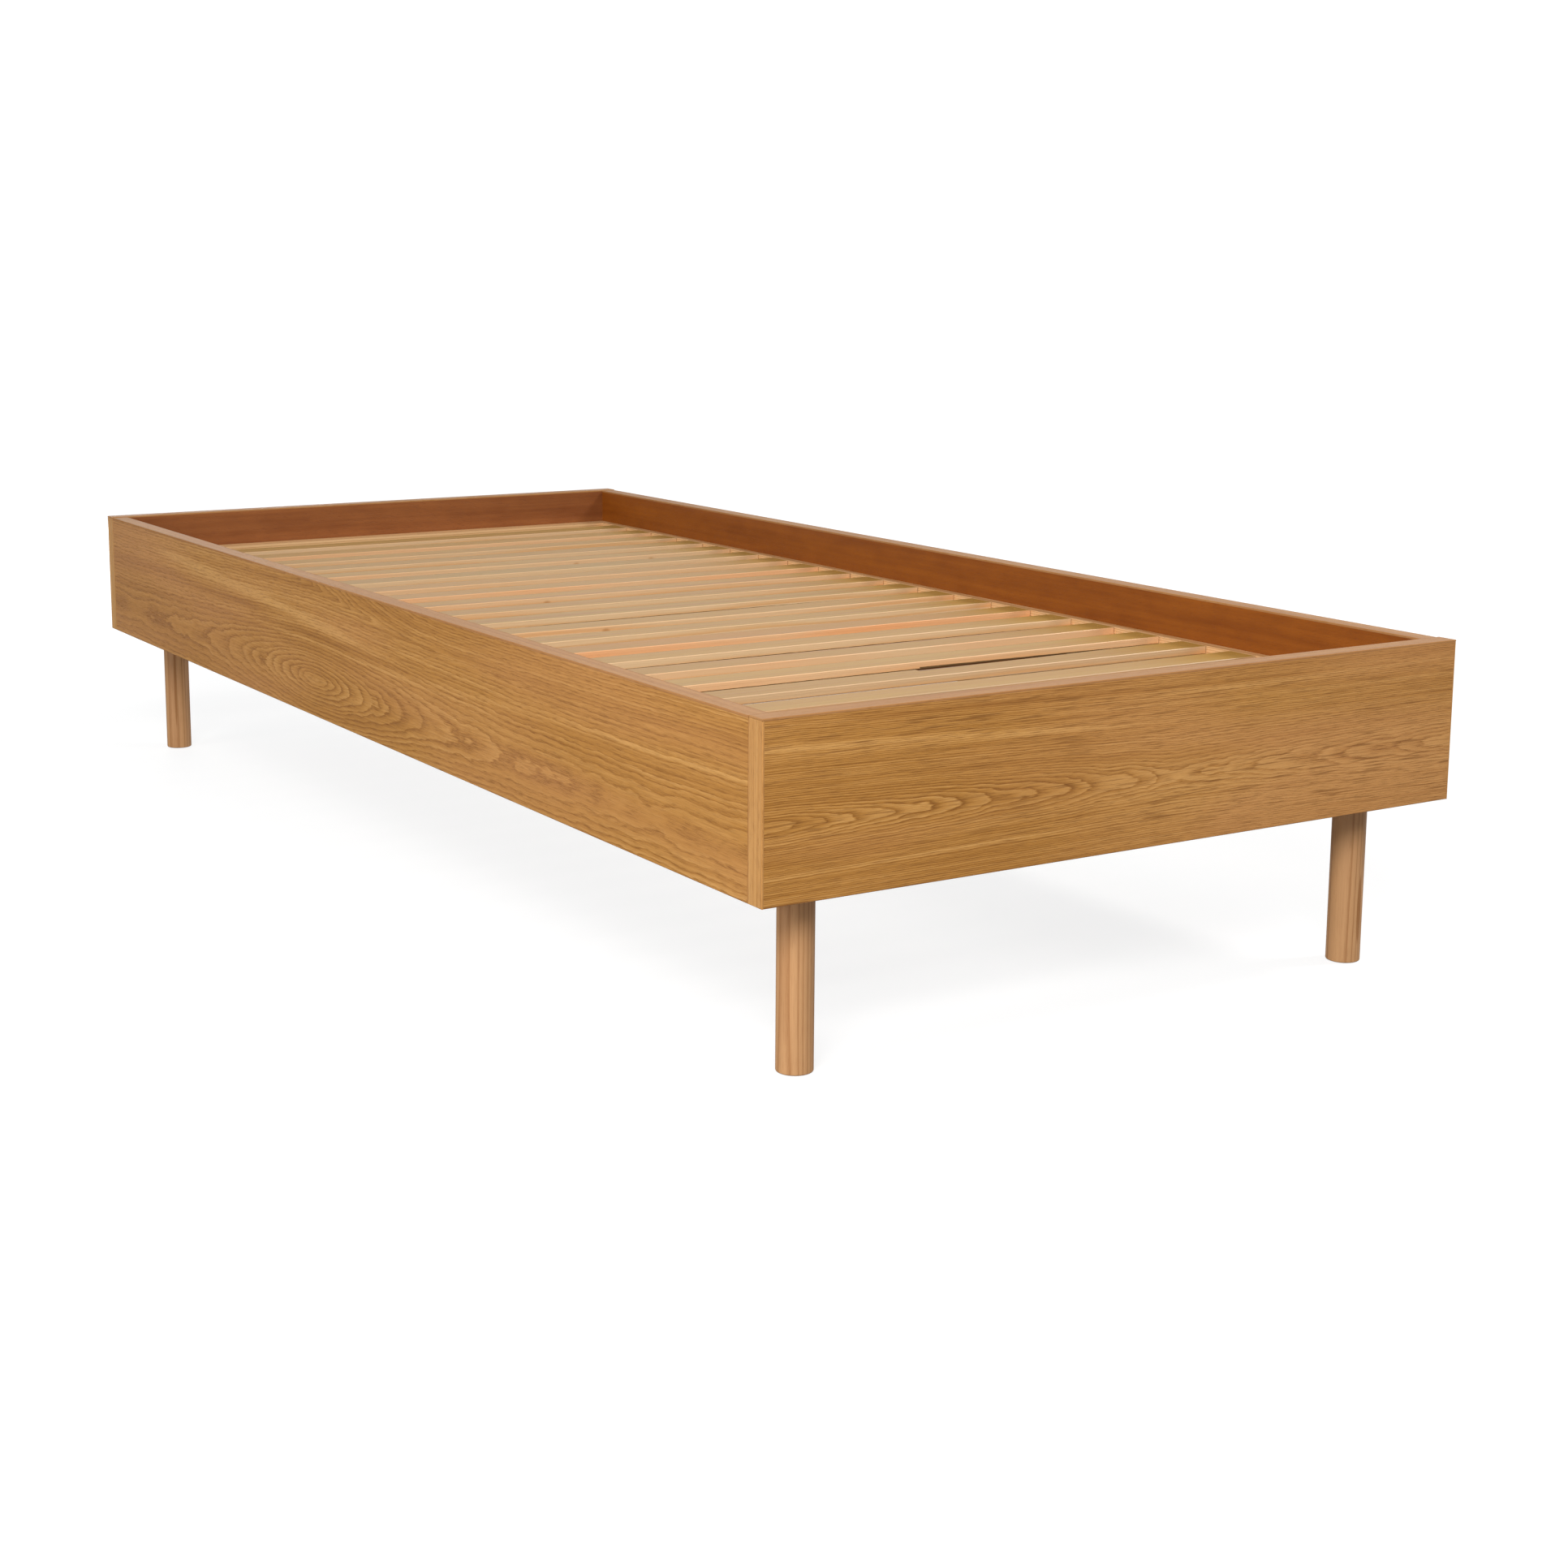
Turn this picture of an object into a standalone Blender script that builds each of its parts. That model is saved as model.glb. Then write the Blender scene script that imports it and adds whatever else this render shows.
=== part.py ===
"""Low single bed frame: four veneered boards on round legs, with a slatted base inside.

Metres, +Z up. The origin is on the floor under the middle of the frame. +Y points to the
head end and +X to the right-hand side. The four corners are alike, so everything at a
corner is placed from its end (-1 foot, +1 head) and its side (-1 left, +1 right).
"""
import math

import bmesh
import bpy
from mathutils import Matrix, Vector

# ---- Driving dimensions --------------------------------------------------------------
GAP = 0.0003  # clearance between pieces that touch

WIDTH = 0.955  # over the two side panels
LENGTH = 2.055  # over the two end panels
BOARD = 0.026  # thickness of a veneered board
PANEL_HEIGHT = 0.190  # end panel with its top lipping
SIDE_DROP = 0.001  # the side panels finish this far below the end panels
UNDERSIDE = 0.200  # floor to the lower edge of the panels
LIPPING = 0.002  # solid strip on the top edges and on the ends of the end panels
ARRIS = 0.0006  # easing of the lipped and lower edges

SLAT_RECESS = 0.057  # rim of the end panels down to the slat tops
SLAT_COUNT = 21
SLAT_NUMBERS = range(1, SLAT_COUNT + 1)
SLAT_PITCH = 0.0902
SLAT_WIDTH = 0.046
SLAT_THICKNESS = 0.010
SLAT_ARRIS = 0.0008
SLAT_END_PLAY = 0.0005
TORN_SLAT = 4  # this slat has lost a long, shallow sliver from its upper head-side edge
TORN_START = 0.0065  # where along the slat the sliver starts at full width
TORN_LENGTH = 0.333
TORN_WIDTH = 0.011
TORN_DEPTH = 0.0012

RAIL_HEIGHT = 0.045
RAIL_UPSTAND = 0.016  # part of a side rail that rises to the slat tops
RAIL_LEDGE = 0.022  # part of a side rail that the slats lie on
END_RAIL_WIDTH = 0.032

LEG_RADIUS = 0.0200
LEG_FROM_SIDE = 0.086  # leg axis to the outer face of the side panel
LEG_FROM_END = 0.070  # leg axis to the outer face of the end panel
LEG_EASE = 0.0015
LEG_STEPS = 48

BLOCK_X = 0.100
BLOCK_Y = 0.084
BLOCK_HEIGHT = 0.040
BLOCK_RISE = 0.004  # corner block's underside above the panels' lower edge
BLOCK_ARRIS = 0.0015

HANGER_RADIUS = 0.004
HANGER_LENGTH = 0.070
HANGER_IN_LEG = 0.036
LEG_INSERT_RADIUS = 0.006
LEG_INSERT_LENGTH = 0.020

BOLT_RADIUS = 0.004
BOLT_LENGTH = 0.100
BOLT_HEAD_RADIUS = 0.0080
BOLT_HEAD_HEIGHT = 0.0050
BOLT_SOCKET_RADIUS = 0.0030
BOLT_RECESS_RADIUS = 0.0110
BOLT_RECESS_DEPTH = 0.016
BOLT_WASHER = 0.0018  # room under the head for the washer
BOLT_FROM_END = 0.067  # bolt axis from the end panel's inner face
BOLT_RISE = 0.026  # bolt axis above the block's underside
BOLT_CHAMFER = 0.0008

DOWEL_RADIUS = 0.004
DOWEL_REACH = 0.015  # how far a glued dowel stands out of its own piece
DOWEL_ROOT = 0.008  # how far it overlaps that piece
CORNER_DOWEL_HEIGHTS = (0.036, 0.156)  # above the panels' lower edge
BLOCK_DOWELS_FROM_SIDE = (0.025, 0.088)
BLOCK_DOWEL_RISE = 0.014

SCREW_RADIUS = 0.002
SCREW_LENGTH = 0.045
SCREW_HEAD_RADIUS = 0.004
SCREW_HEAD_DEPTH = 0.0025
SCREW_GRIP = 0.026  # screw head to the panel's face
SCREW_PITCHES = (1.5, 5.5, 9.5)  # side-rail screws, in slat pitches from the middle
END_SCREWS_X = (-0.33, 0.0, 0.33)

PIN_RADIUS = 0.0008
PIN_HEAD_RADIUS = 0.0013
PIN_LENGTH = 0.024
PIN_FROM_SLAT_END = 0.0105
PIN_STEPS = 8

FASTENER_STEPS = 12

# ---- Derived places ------------------------------------------------------------------
TOP = UNDERSIDE + PANEL_HEIGHT
SIDE_TOP = TOP - SIDE_DROP
INNER_X = WIDTH / 2 - BOARD
INNER_Y = LENGTH / 2 - BOARD
SLAT_TOP = TOP - SLAT_RECESS
LEDGE_TOP = SLAT_TOP - SLAT_THICKNESS - GAP
RAIL_BOTTOM = SLAT_TOP - RAIL_HEIGHT
RAIL_OUTER_X = INNER_X - GAP
UPSTAND_X = RAIL_OUTER_X - RAIL_UPSTAND
RAIL_INNER_X = UPSTAND_X - RAIL_LEDGE
SIDE_RAIL_END_Y = INNER_Y - GAP - END_RAIL_WIDTH - GAP
SLAT_HALF_LENGTH = UPSTAND_X - SLAT_END_PLAY
PIN_X = SLAT_HALF_LENGTH - PIN_FROM_SLAT_END
PIN_TIP_Z = SLAT_TOP - PIN_LENGTH
SCREW_Z = (RAIL_BOTTOM + LEDGE_TOP) / 2
BLOCK_BOTTOM = UNDERSIDE + BLOCK_RISE
LEG_X = WIDTH / 2 - LEG_FROM_SIDE
LEG_Y = LENGTH / 2 - LEG_FROM_END
LEG_TOP = BLOCK_BOTTOM - GAP
BLOCK_INNER_X = INNER_X - GAP - BLOCK_X
BLOCK_INNER_Y = INNER_Y - GAP - BLOCK_Y
BOLT_SEAT_X = BLOCK_INNER_X + BOLT_RECESS_DEPTH
BOLT_Y = INNER_Y - BOLT_FROM_END
BOLT_Z = BLOCK_BOTTOM + BOLT_RISE

ENDS = {"foot": -1, "head": 1}
SIDES = {"left": -1, "right": 1}

# ---- Materials: colour, roughness, metallic -------------------------------------------
FINISHES = {
    "oak_veneer": ((0.445, 0.210, 0.064), 0.45, 0.0),
    "oak_lipping": ((0.503, 0.283, 0.120), 0.50, 0.0),
    "pine_rail": ((0.560, 0.330, 0.120), 0.55, 0.0),
    "pine_slat": ((0.620, 0.400, 0.190), 0.45, 0.0),
    "leg_wood": ((0.552, 0.292, 0.120), 0.45, 0.0),
    "block_wood": ((0.520, 0.330, 0.150), 0.60, 0.0),
    "zinc_steel": ((0.560, 0.570, 0.580), 0.35, 1.0),
}


def clear_scene():
    for old in list(bpy.data.objects):
        bpy.data.objects.remove(old, do_unlink=True)


def make_material(name):
    colour, roughness, metallic = FINISHES[name]
    material = bpy.data.materials.new(name)
    material.use_nodes = True
    shader = material.node_tree.nodes["Principled BSDF"]
    shader.inputs["Base Color"].default_value = (*colour, 1.0)
    shader.inputs["Roughness"].default_value = roughness
    shader.inputs["Metallic"].default_value = metallic
    return material


def make_collection(name):
    collection = bpy.data.collections.new(name)
    bpy.context.scene.collection.children.link(collection)
    return collection


clear_scene()
MATERIALS = {name: make_material(name) for name in FINISHES}
PARTS = make_collection("bed_frame")
CUTTERS = make_collection("bed_frame_cutters")
FRAME = bpy.data.objects.new("bed_frame", None)
PARTS.objects.link(FRAME)


# ---- Modelling helpers ---------------------------------------------------------------
def place(name, mesh, material, location=(0.0, 0.0, 0.0)):
    """One sub-part: its object, its finish and its place in the frame."""
    obj = bpy.data.objects.new(name, mesh)
    obj.location = location
    obj.parent = FRAME
    mesh.materials.clear()
    mesh.materials.append(MATERIALS[material])
    PARTS.objects.link(obj)
    return obj


def mesh_from(name, bm):
    mesh = bpy.data.meshes.new(name)
    bm.to_mesh(mesh)
    bm.free()
    return mesh


def box_mesh(name, size, eased_faces=(), ease=ARRIS):
    """A block about its own centre. eased_faces name the faces whose border is eased, as "+z"."""
    bm = bmesh.new()
    bmesh.ops.create_cube(bm, size=1.0)
    bmesh.ops.scale(bm, vec=size, verts=bm.verts)
    chosen = set()
    for label in eased_faces:
        axis = "xyz".index(label[1])
        edge_of_box = size[axis] / 2 * (1 if label[0] == "+" else -1)
        for edge in bm.edges:
            if all(abs(vert.co[axis] - edge_of_box) < GAP for vert in edge.verts):
                chosen.add(edge)
    if chosen:
        bmesh.ops.bevel(bm, geom=list(chosen), offset=ease, segments=1, affect="EDGES")
    return mesh_from(name, bm)


def block(name, low, high, material, eased_faces=(), ease=ARRIS):
    """A board or strip between two opposite corners, given in any order along each axis."""
    low, high = Vector(map(min, low, high)), Vector(map(max, low, high))
    mesh = box_mesh(name, high - low, eased_faces, ease)
    return place(name, mesh, material, (low + high) / 2)


def baked(obj):
    """The evaluated mesh of a helper object, which is then removed."""
    depsgraph = bpy.context.evaluated_depsgraph_get()
    mesh = bpy.data.meshes.new_from_object(obj.evaluated_get(depsgraph))
    bpy.data.objects.remove(obj)
    return mesh


def turned(name, profile, steps, closed=False):
    """A profile of (radius, height) points, outer side running down, spun about Z."""
    bm = bmesh.new()
    verts = [bm.verts.new((radius, 0.0, height)) for radius, height in profile]
    for start, end in zip(verts, verts[1:]):
        bm.edges.new((start, end))
    if closed:
        bm.edges.new((verts[-1], verts[0]))
    obj = bpy.data.objects.new(name, mesh_from(name, bm))
    PARTS.objects.link(obj)
    screw = obj.modifiers.new("turned", "SCREW")
    screw.axis = "Z"
    screw.angle = 2 * math.pi
    screw.steps = steps
    screw.render_steps = steps
    screw.use_merge_vertices = True
    screw.merge_threshold = 0.00001
    screw.use_smooth_shade = True
    mesh = baked(obj)
    mesh.set_sharp_from_angle(angle=math.radians(35))
    return mesh


def rod(name, radius, length, chamfer, steps=FASTENER_STEPS):
    """A plain pin about its own centre along Z, with chamfered ends."""
    half = length / 2
    profile = [(0, half), (radius - chamfer, half), (radius, half - chamfer)]
    profile += [(radius, chamfer - half), (radius - chamfer, -half), (0, -half)]
    return turned(name, profile, steps)


def ring(name, inner, outer, low, high):
    """A sleeve or washer along Z."""
    profile = [(inner, high), (outer, high), (outer, low), (inner, low)]
    return turned(name, profile, FASTENER_STEPS, closed=True)


def facing(direction, position):
    """The placement that turns local +Z to a direction and moves the origin to a position."""
    turn = Vector((0, 0, 1)).rotation_difference(Vector(direction)).to_matrix().to_4x4()
    return Matrix.Translation(position) @ turn


def copies(name, mesh, placements):
    """One mesh with a separate copy of a solid at each placement."""
    bm = bmesh.new()
    for placement in placements:
        first = len(bm.verts)
        bm.from_mesh(mesh)
        bm.verts.ensure_lookup_table()
        bmesh.ops.transform(bm, matrix=placement, verts=bm.verts[first:])
    return mesh_from(name, bm)


def tool(name, mesh, placements):
    """A helper solid for Booleans, kept out of the render."""
    obj = bpy.data.objects.new(name, copies(name, mesh, placements))
    obj.hide_render = True
    obj.display_type = "WIRE"
    CUTTERS.objects.link(obj)
    return obj


def combine(target, helper, operation):
    modifier = target.modifiers.new(helper.name, "BOOLEAN")
    modifier.operation = operation
    modifier.solver = "EXACT"
    modifier.object = helper


def cut(target, helper):
    combine(target, helper, "DIFFERENCE")


def join(target, helper):
    combine(target, helper, "UNION")


# ---- Panels and their lippings -------------------------------------------------------
def end_panels():
    panels = {}
    half = WIDTH / 2 - LIPPING - GAP
    core_top = TOP - LIPPING - GAP
    for end_name, end in ENDS.items():
        outer, inner = end * LENGTH / 2, end * INNER_Y
        name = f"end_panel_{end_name}"
        low, high = (-half, outer, UNDERSIDE), (half, inner, core_top)
        panels[end_name] = block(name, low, high, "oak_veneer", ["-z"])
        block(
            f"{name}_top_lipping",
            (-WIDTH / 2, outer, TOP - LIPPING),
            (WIDTH / 2, inner, TOP),
            "oak_lipping",
            ["+z"],
        )
        for side_name, side in SIDES.items():
            block(
                f"{name}_end_lipping_{side_name}",
                (side * (WIDTH / 2 - LIPPING), outer, UNDERSIDE),
                (side * WIDTH / 2, inner, core_top),
                "oak_lipping",
                ["+x" if side > 0 else "-x"],
            )
    return panels


def side_panels():
    panels = {}
    half = INNER_Y - GAP
    core_top = SIDE_TOP - LIPPING - GAP
    for side_name, side in SIDES.items():
        outer, inner = side * WIDTH / 2, side * INNER_X
        name = f"side_panel_{side_name}"
        low, high = (outer, -half, UNDERSIDE), (inner, half, core_top)
        panels[side_name] = block(name, low, high, "oak_veneer", ["-z"])
        block(
            f"{name}_top_lipping",
            (outer, -half, SIDE_TOP - LIPPING),
            (inner, half, SIDE_TOP),
            "oak_lipping",
            ["+z"],
        )
    return panels


# ---- Slatted base --------------------------------------------------------------------
def slat_rails():
    """Side rails are rebated for the slats. Plain end rails close the base at each end."""
    rails = {}
    rebate = box_mesh("rebate", (2 * RAIL_LEDGE, 2 * LENGTH, 2 * (SLAT_TOP - LEDGE_TOP)))
    for side_name, side in SIDES.items():
        rails[side_name] = block(
            f"slat_rail_{side_name}",
            (side * RAIL_OUTER_X, -SIDE_RAIL_END_Y, RAIL_BOTTOM),
            (side * RAIL_INNER_X, SIDE_RAIL_END_Y, SLAT_TOP),
            "pine_rail",
        )
        corner = (side * (UPSTAND_X - RAIL_LEDGE), 0.0, SLAT_TOP)
        cut(rails[side_name], tool(f"rebate_{side_name}", rebate, [Matrix.Translation(corner)]))
    for end_name, end in ENDS.items():
        rails[end_name] = block(
            f"slat_rail_{end_name}",
            (-RAIL_OUTER_X, end * (INNER_Y - GAP), RAIL_BOTTOM),
            (RAIL_OUTER_X, end * (INNER_Y - GAP - END_RAIL_WIDTH), SLAT_TOP),
            "pine_rail",
        )
    return rails


def slat_y(number):
    return (number - (SLAT_COUNT + 1) / 2) * SLAT_PITCH


def slats():
    """All slats but one share a mesh. The odd one has a tapering sliver missing."""
    pin_hole = rod("slat_pin_hole", PIN_HEAD_RADIUS + GAP, 2 * SLAT_WIDTH, GAP, PIN_STEPS)
    size = (2 * SLAT_HALF_LENGTH, SLAT_WIDTH, SLAT_THICKNESS)
    centre_z = SLAT_TOP - SLAT_THICKNESS / 2
    pattern = place("slat_pattern", box_mesh("slat", size, ["+y", "-y"], SLAT_ARRIS), "pine_slat")
    holes = [Matrix.Translation((side * PIN_X, 0.0, 0.0)) for side in SIDES.values()]
    cut(pattern, tool("slat_pin_holes", pin_hole, holes))
    bpy.context.view_layer.update()
    plain = baked(pattern)
    for number in SLAT_NUMBERS:
        mesh = plain.copy() if number == TORN_SLAT else plain
        slat = place(f"slat_{number:02d}", mesh, "pine_slat", (0.0, slat_y(number), centre_z))
        if number == TORN_SLAT:
            cut(slat, sliver(slat_y(number) + SLAT_WIDTH / 2))


def sliver(edge_y):
    """A thin wedge along a slat's upper edge: full width at its start, nothing at its far end."""
    taper = math.atan2(TORN_WIDTH, TORN_LENGTH)
    length, width, height = TORN_LENGTH * 1.1, 4 * TORN_WIDTH, 4 * TORN_DEPTH
    wedge = box_mesh("sliver", (length, width, height))
    to_corner = Matrix.Translation((length / 2, width / 2, height / 2))
    start = Matrix.Translation((TORN_START, edge_y - TORN_WIDTH, SLAT_TOP - TORN_DEPTH))
    return tool("sliver", wedge, [start @ Matrix.Rotation(taper, 4, "Z") @ to_corner])


# ---- Legs and corner blocks ----------------------------------------------------------
def legs():
    bore = HANGER_RADIUS + GAP
    bore_end = LEG_TOP - HANGER_IN_LEG - GAP
    profile = [
        (0.0, bore_end),
        (bore, bore_end),
        (bore, LEG_TOP),
        (LEG_RADIUS - LEG_EASE / 2, LEG_TOP),
        (LEG_RADIUS, LEG_TOP - LEG_EASE / 2),
        (LEG_RADIUS, LEG_EASE),
        (LEG_RADIUS - LEG_EASE / 3, LEG_EASE / 3),
        (LEG_RADIUS - LEG_EASE, 0.0),
        (0.0, 0.0),
    ]
    mesh = turned("leg", profile, LEG_STEPS)
    for end_name, end in ENDS.items():
        for side_name, side in SIDES.items():
            place(f"leg_{end_name}_{side_name}", mesh, "leg_wood", (side * LEG_X, end * LEG_Y, 0.0))


def corner_blocks():
    blocks = {}
    for end_name, end in ENDS.items():
        for side_name, side in SIDES.items():
            blocks[end_name, side_name] = block(
                f"corner_block_{end_name}_{side_name}",
                (side * (INNER_X - GAP), end * (INNER_Y - GAP), BLOCK_BOTTOM),
                (side * BLOCK_INNER_X, end * BLOCK_INNER_Y, BLOCK_BOTTOM + BLOCK_HEIGHT),
                "block_wood",
                ["-z", "+z"],
                BLOCK_ARRIS,
            )
    return blocks


# ---- Fixings and the holes that take them --------------------------------------------
def leg_fixings(blocks):
    """A hanger bolt in each leg turns into a threaded insert in the corner block."""
    hanger = rod("hanger_bolt", HANGER_RADIUS, HANGER_LENGTH, 0.001)
    foot = BLOCK_BOTTOM - LEG_TOP + GAP
    step = foot + LEG_INSERT_LENGTH
    insert = ring("leg_insert", HANGER_RADIUS + GAP, LEG_INSERT_RADIUS, foot, step)
    lift = HANGER_LENGTH / 2 - HANGER_IN_LEG

    mouth = -BLOCK_RISE
    roof = HANGER_LENGTH - HANGER_IN_LEG + 2 * GAP
    wide, narrow = LEG_INSERT_RADIUS + GAP, HANGER_RADIUS + GAP
    profile = [
        (0, roof),
        (narrow, roof),
        (narrow, step + GAP),
        (wide, step + GAP),
        (wide, mouth),
        (0, mouth),
    ]
    hole = turned("leg_insert_hole", profile, FASTENER_STEPS)
    for (end_name, side_name), corner_block in blocks.items():
        corner = f"{end_name}_{side_name}"
        x, y = SIDES[side_name] * LEG_X, ENDS[end_name] * LEG_Y
        place(f"leg_bolt_{corner}", hanger, "zinc_steel", (x, y, LEG_TOP + lift))
        place(f"leg_insert_{corner}", insert, "zinc_steel", (x, y, LEG_TOP))
        cut(corner_block, tool(f"leg_hole_{corner}", hole, [Matrix.Translation((x, y, LEG_TOP))]))


def corner_bolt_mesh():
    """A socket-head bolt along Z, its head above the seat where Z is 0."""
    under_head = BOLT_WASHER
    head_top = under_head + BOLT_HEAD_HEIGHT
    socket_floor = head_top - BOLT_HEAD_HEIGHT / 2
    tip = under_head - BOLT_LENGTH
    profile = [
        (0, socket_floor),
        (BOLT_SOCKET_RADIUS, socket_floor),
        (BOLT_SOCKET_RADIUS, head_top),
        (BOLT_HEAD_RADIUS - BOLT_CHAMFER, head_top),
        (BOLT_HEAD_RADIUS, head_top - BOLT_CHAMFER),
        (BOLT_HEAD_RADIUS, under_head),
        (BOLT_RADIUS, under_head),
        (BOLT_RADIUS, tip + BOLT_CHAMFER),
        (BOLT_RADIUS - BOLT_CHAMFER, tip),
        (0, tip),
    ]
    return turned("corner_bolt", profile, FASTENER_STEPS)


def corner_fixings(blocks, panels):
    """A bed bolt at each corner runs from a recess through the block into the side panel."""
    bolt = corner_bolt_mesh()
    recess_mouth = 2 * BOLT_RECESS_DEPTH
    bore, tip = BOLT_RADIUS + GAP, BOLT_WASHER - BOLT_LENGTH - GAP
    stepped = [
        (0, recess_mouth),
        (BOLT_RECESS_RADIUS, recess_mouth),
        (BOLT_RECESS_RADIUS, 0),
        (bore, 0),
        (bore, tip),
        (0, tip),
    ]
    hole = turned("corner_bolt_hole", stepped, FASTENER_STEPS)
    for (end_name, side_name), corner_block in blocks.items():
        corner = f"{end_name}_{side_name}"
        end, side = ENDS[end_name], SIDES[side_name]
        seat = (side * BOLT_SEAT_X, end * BOLT_Y, BOLT_Z)
        into_bed = facing((-side, 0, 0), seat)
        bolt_object = place(f"corner_bolt_{corner}", bolt, "zinc_steel", seat)
        bolt_object.rotation_euler = into_bed.to_euler()
        bored = tool(f"bolt_hole_{corner}", hole, [into_bed])
        cut(corner_block, bored)
        cut(panels[side_name], bored)


def dowels(ends, sides, blocks):
    """Dowels along Y, glued into the side panels and the blocks, enter holes in the end panels."""
    length = DOWEL_REACH + DOWEL_ROOT
    dowel = rod("dowel", DOWEL_RADIUS, length, 0.001)
    hole = rod("dowel_hole", DOWEL_RADIUS + GAP, 2 * DOWEL_REACH + 4 * GAP, GAP)
    centre_y = INNER_Y - GAP + DOWEL_REACH - length / 2
    panel_spots = [(INNER_X + BOARD / 2, UNDERSIDE + height) for height in CORNER_DOWEL_HEIGHTS]
    block_spots = [(INNER_X - x, BLOCK_BOTTOM + BLOCK_DOWEL_RISE) for x in BLOCK_DOWELS_FROM_SIDE]

    def spots(places, y, end_names, side_names):
        return [
            facing((0, 1, 0), (SIDES[side] * x, ENDS[end] * y, z))
            for end in end_names
            for side in side_names
            for x, z in places
        ]

    for end_name, panel in ends.items():
        places = spots(panel_spots + block_spots, INNER_Y, [end_name], SIDES)
        cut(panel, tool(f"dowel_holes_{end_name}", hole, places))
    for side_name, panel in sides.items():
        places = spots(panel_spots, centre_y, ENDS, [side_name])
        join(panel, tool(f"dowels_{side_name}", dowel, places))
    for (end_name, side_name), corner_block in blocks.items():
        places = spots(block_spots, centre_y, [end_name], [side_name])
        join(corner_block, tool(f"dowels_{end_name}_{side_name}", dowel, places))


def screw_places():
    """Where each rail's screw heads sit, by the rail's name. Local +Z points into the bed."""
    head_x, head_y = INNER_X - SCREW_GRIP, INNER_Y - SCREW_GRIP
    along = [sign * pitches * SLAT_PITCH for pitches in SCREW_PITCHES for sign in (-1, 1)]
    places = {}
    for side_name, side in SIDES.items():
        places[side_name] = [facing((-side, 0, 0), (side * head_x, y, SCREW_Z)) for y in along]
    for end_name, end in ENDS.items():
        places[end_name] = [facing((0, -end, 0), (x, end * head_y, SCREW_Z)) for x in END_SCREWS_X]
    return places


def screw_holes(rails, panels):
    """Countersunk holes for the screws that hold each rail to its panel."""
    mouth, end = SCREW_GRIP, -SCREW_LENGTH - GAP
    wide, narrow = SCREW_HEAD_RADIUS + GAP, SCREW_RADIUS + GAP
    profile = [
        (0, mouth),
        (wide, mouth),
        (wide, -GAP),
        (narrow, -SCREW_HEAD_DEPTH),
        (narrow, end),
        (0, end),
    ]
    hole = turned("screw_hole", profile, FASTENER_STEPS)
    for key, spots in screw_places().items():
        holes = tool(f"screw_holes_{key}", hole, spots)
        cut(rails[key], holes)
        cut(panels[key], holes)


def pin_holes(rails):
    """Blind holes in the ledges for the pins that hold the slats."""
    hole = rod("rail_pin_hole", PIN_RADIUS + GAP, 2 * (LEDGE_TOP - PIN_TIP_Z), GAP, PIN_STEPS)
    for side_name, side in SIDES.items():
        spots = [Matrix.Translation((side * PIN_X, slat_y(n), LEDGE_TOP)) for n in SLAT_NUMBERS]
        cut(rails[side_name], tool(f"pin_holes_{side_name}", hole, spots))


def build():
    ends = end_panels()
    sides = side_panels()
    rails = slat_rails()
    blocks = corner_blocks()
    legs()
    leg_fixings(blocks)
    corner_fixings(blocks, sides)
    dowels(ends, sides, blocks)
    screw_holes(rails, {**ends, **sides})
    slats()
    pin_holes(rails)


build()
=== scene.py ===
"""Looks, camera and light for the low oak bed frame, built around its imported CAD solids.

Metres, +Z up, +Y towards the head end, +X to the right-hand side. Every CAD node sits at the
origin, so object coordinates are world coordinates in every material below.
"""
import math
import random

import bmesh
import bpy
from mathutils import Matrix, Vector


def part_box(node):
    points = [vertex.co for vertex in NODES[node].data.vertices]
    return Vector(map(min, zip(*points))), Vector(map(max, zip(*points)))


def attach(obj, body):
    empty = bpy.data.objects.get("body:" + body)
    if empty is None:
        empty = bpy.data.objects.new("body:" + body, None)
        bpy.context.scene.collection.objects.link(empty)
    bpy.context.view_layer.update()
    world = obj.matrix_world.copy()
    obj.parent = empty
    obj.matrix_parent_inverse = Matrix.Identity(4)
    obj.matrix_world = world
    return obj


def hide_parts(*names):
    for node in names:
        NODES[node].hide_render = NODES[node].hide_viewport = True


SIDES = {"left": -1, "right": 1}
ENDS = {"foot": -1, "head": 1}
CORNERS = [f"{end}_{side}" for end in ENDS for side in SIDES]
SLAT_NUMBERS = range(1, 22)

# ---- Camera: where it stands, where it looks, and its lens ---------------------------------------
CAMERA_PLACE = (-1.7056, -2.9648, 0.8387)
CAMERA_TURN = math.radians(-31.2027)  # from the +Y direction; below zero is to the right
CAMERA_DIP = math.radians(10.1899)  # below the horizon
CAMERA_ROLL = math.radians(0.1716)
CAMERA_LENS = 55.69  # millimetres
CAMERA_SENSOR = 36.0  # millimetres
CAMERA_SHIFT = (0.0445, -0.0652)
CAMERA_REACH = 200.0

# ---- Light ---------------------------------------------------------------------------------------
SKY_STRENGTH = 0.34
SKY_SHEEN = 0.85  # how bright the sky looks in glossy surfaces
SKY_BEHIND = 1.2  # how bright it looks behind the object
FLOOR_GLOW = 0.78  # seen by the camera only, so that the floor looks white without lighting the object
FLOOR_GLOW_FAR = 0.12  # added from FLOOR_NEAR to FLOOR_FAR metres away, beyond the reach of the lamps
FLOOR_NEAR, FLOOR_FAR = 1.7, 4.0
FLOOR_GLOW_COLOUR = (0.985, 0.993, 1.0)
FLOOR_DARK, FLOOR_LIGHT = (0.27, 0.27, 0.27), (0.29, 0.29, 0.29)
FLOOR_ROUGHNESS = 0.85
FLOOR_SIZE = 40.0
FLOOR_DROP = 0.0004  # just clear of the undersides of the feet
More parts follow.
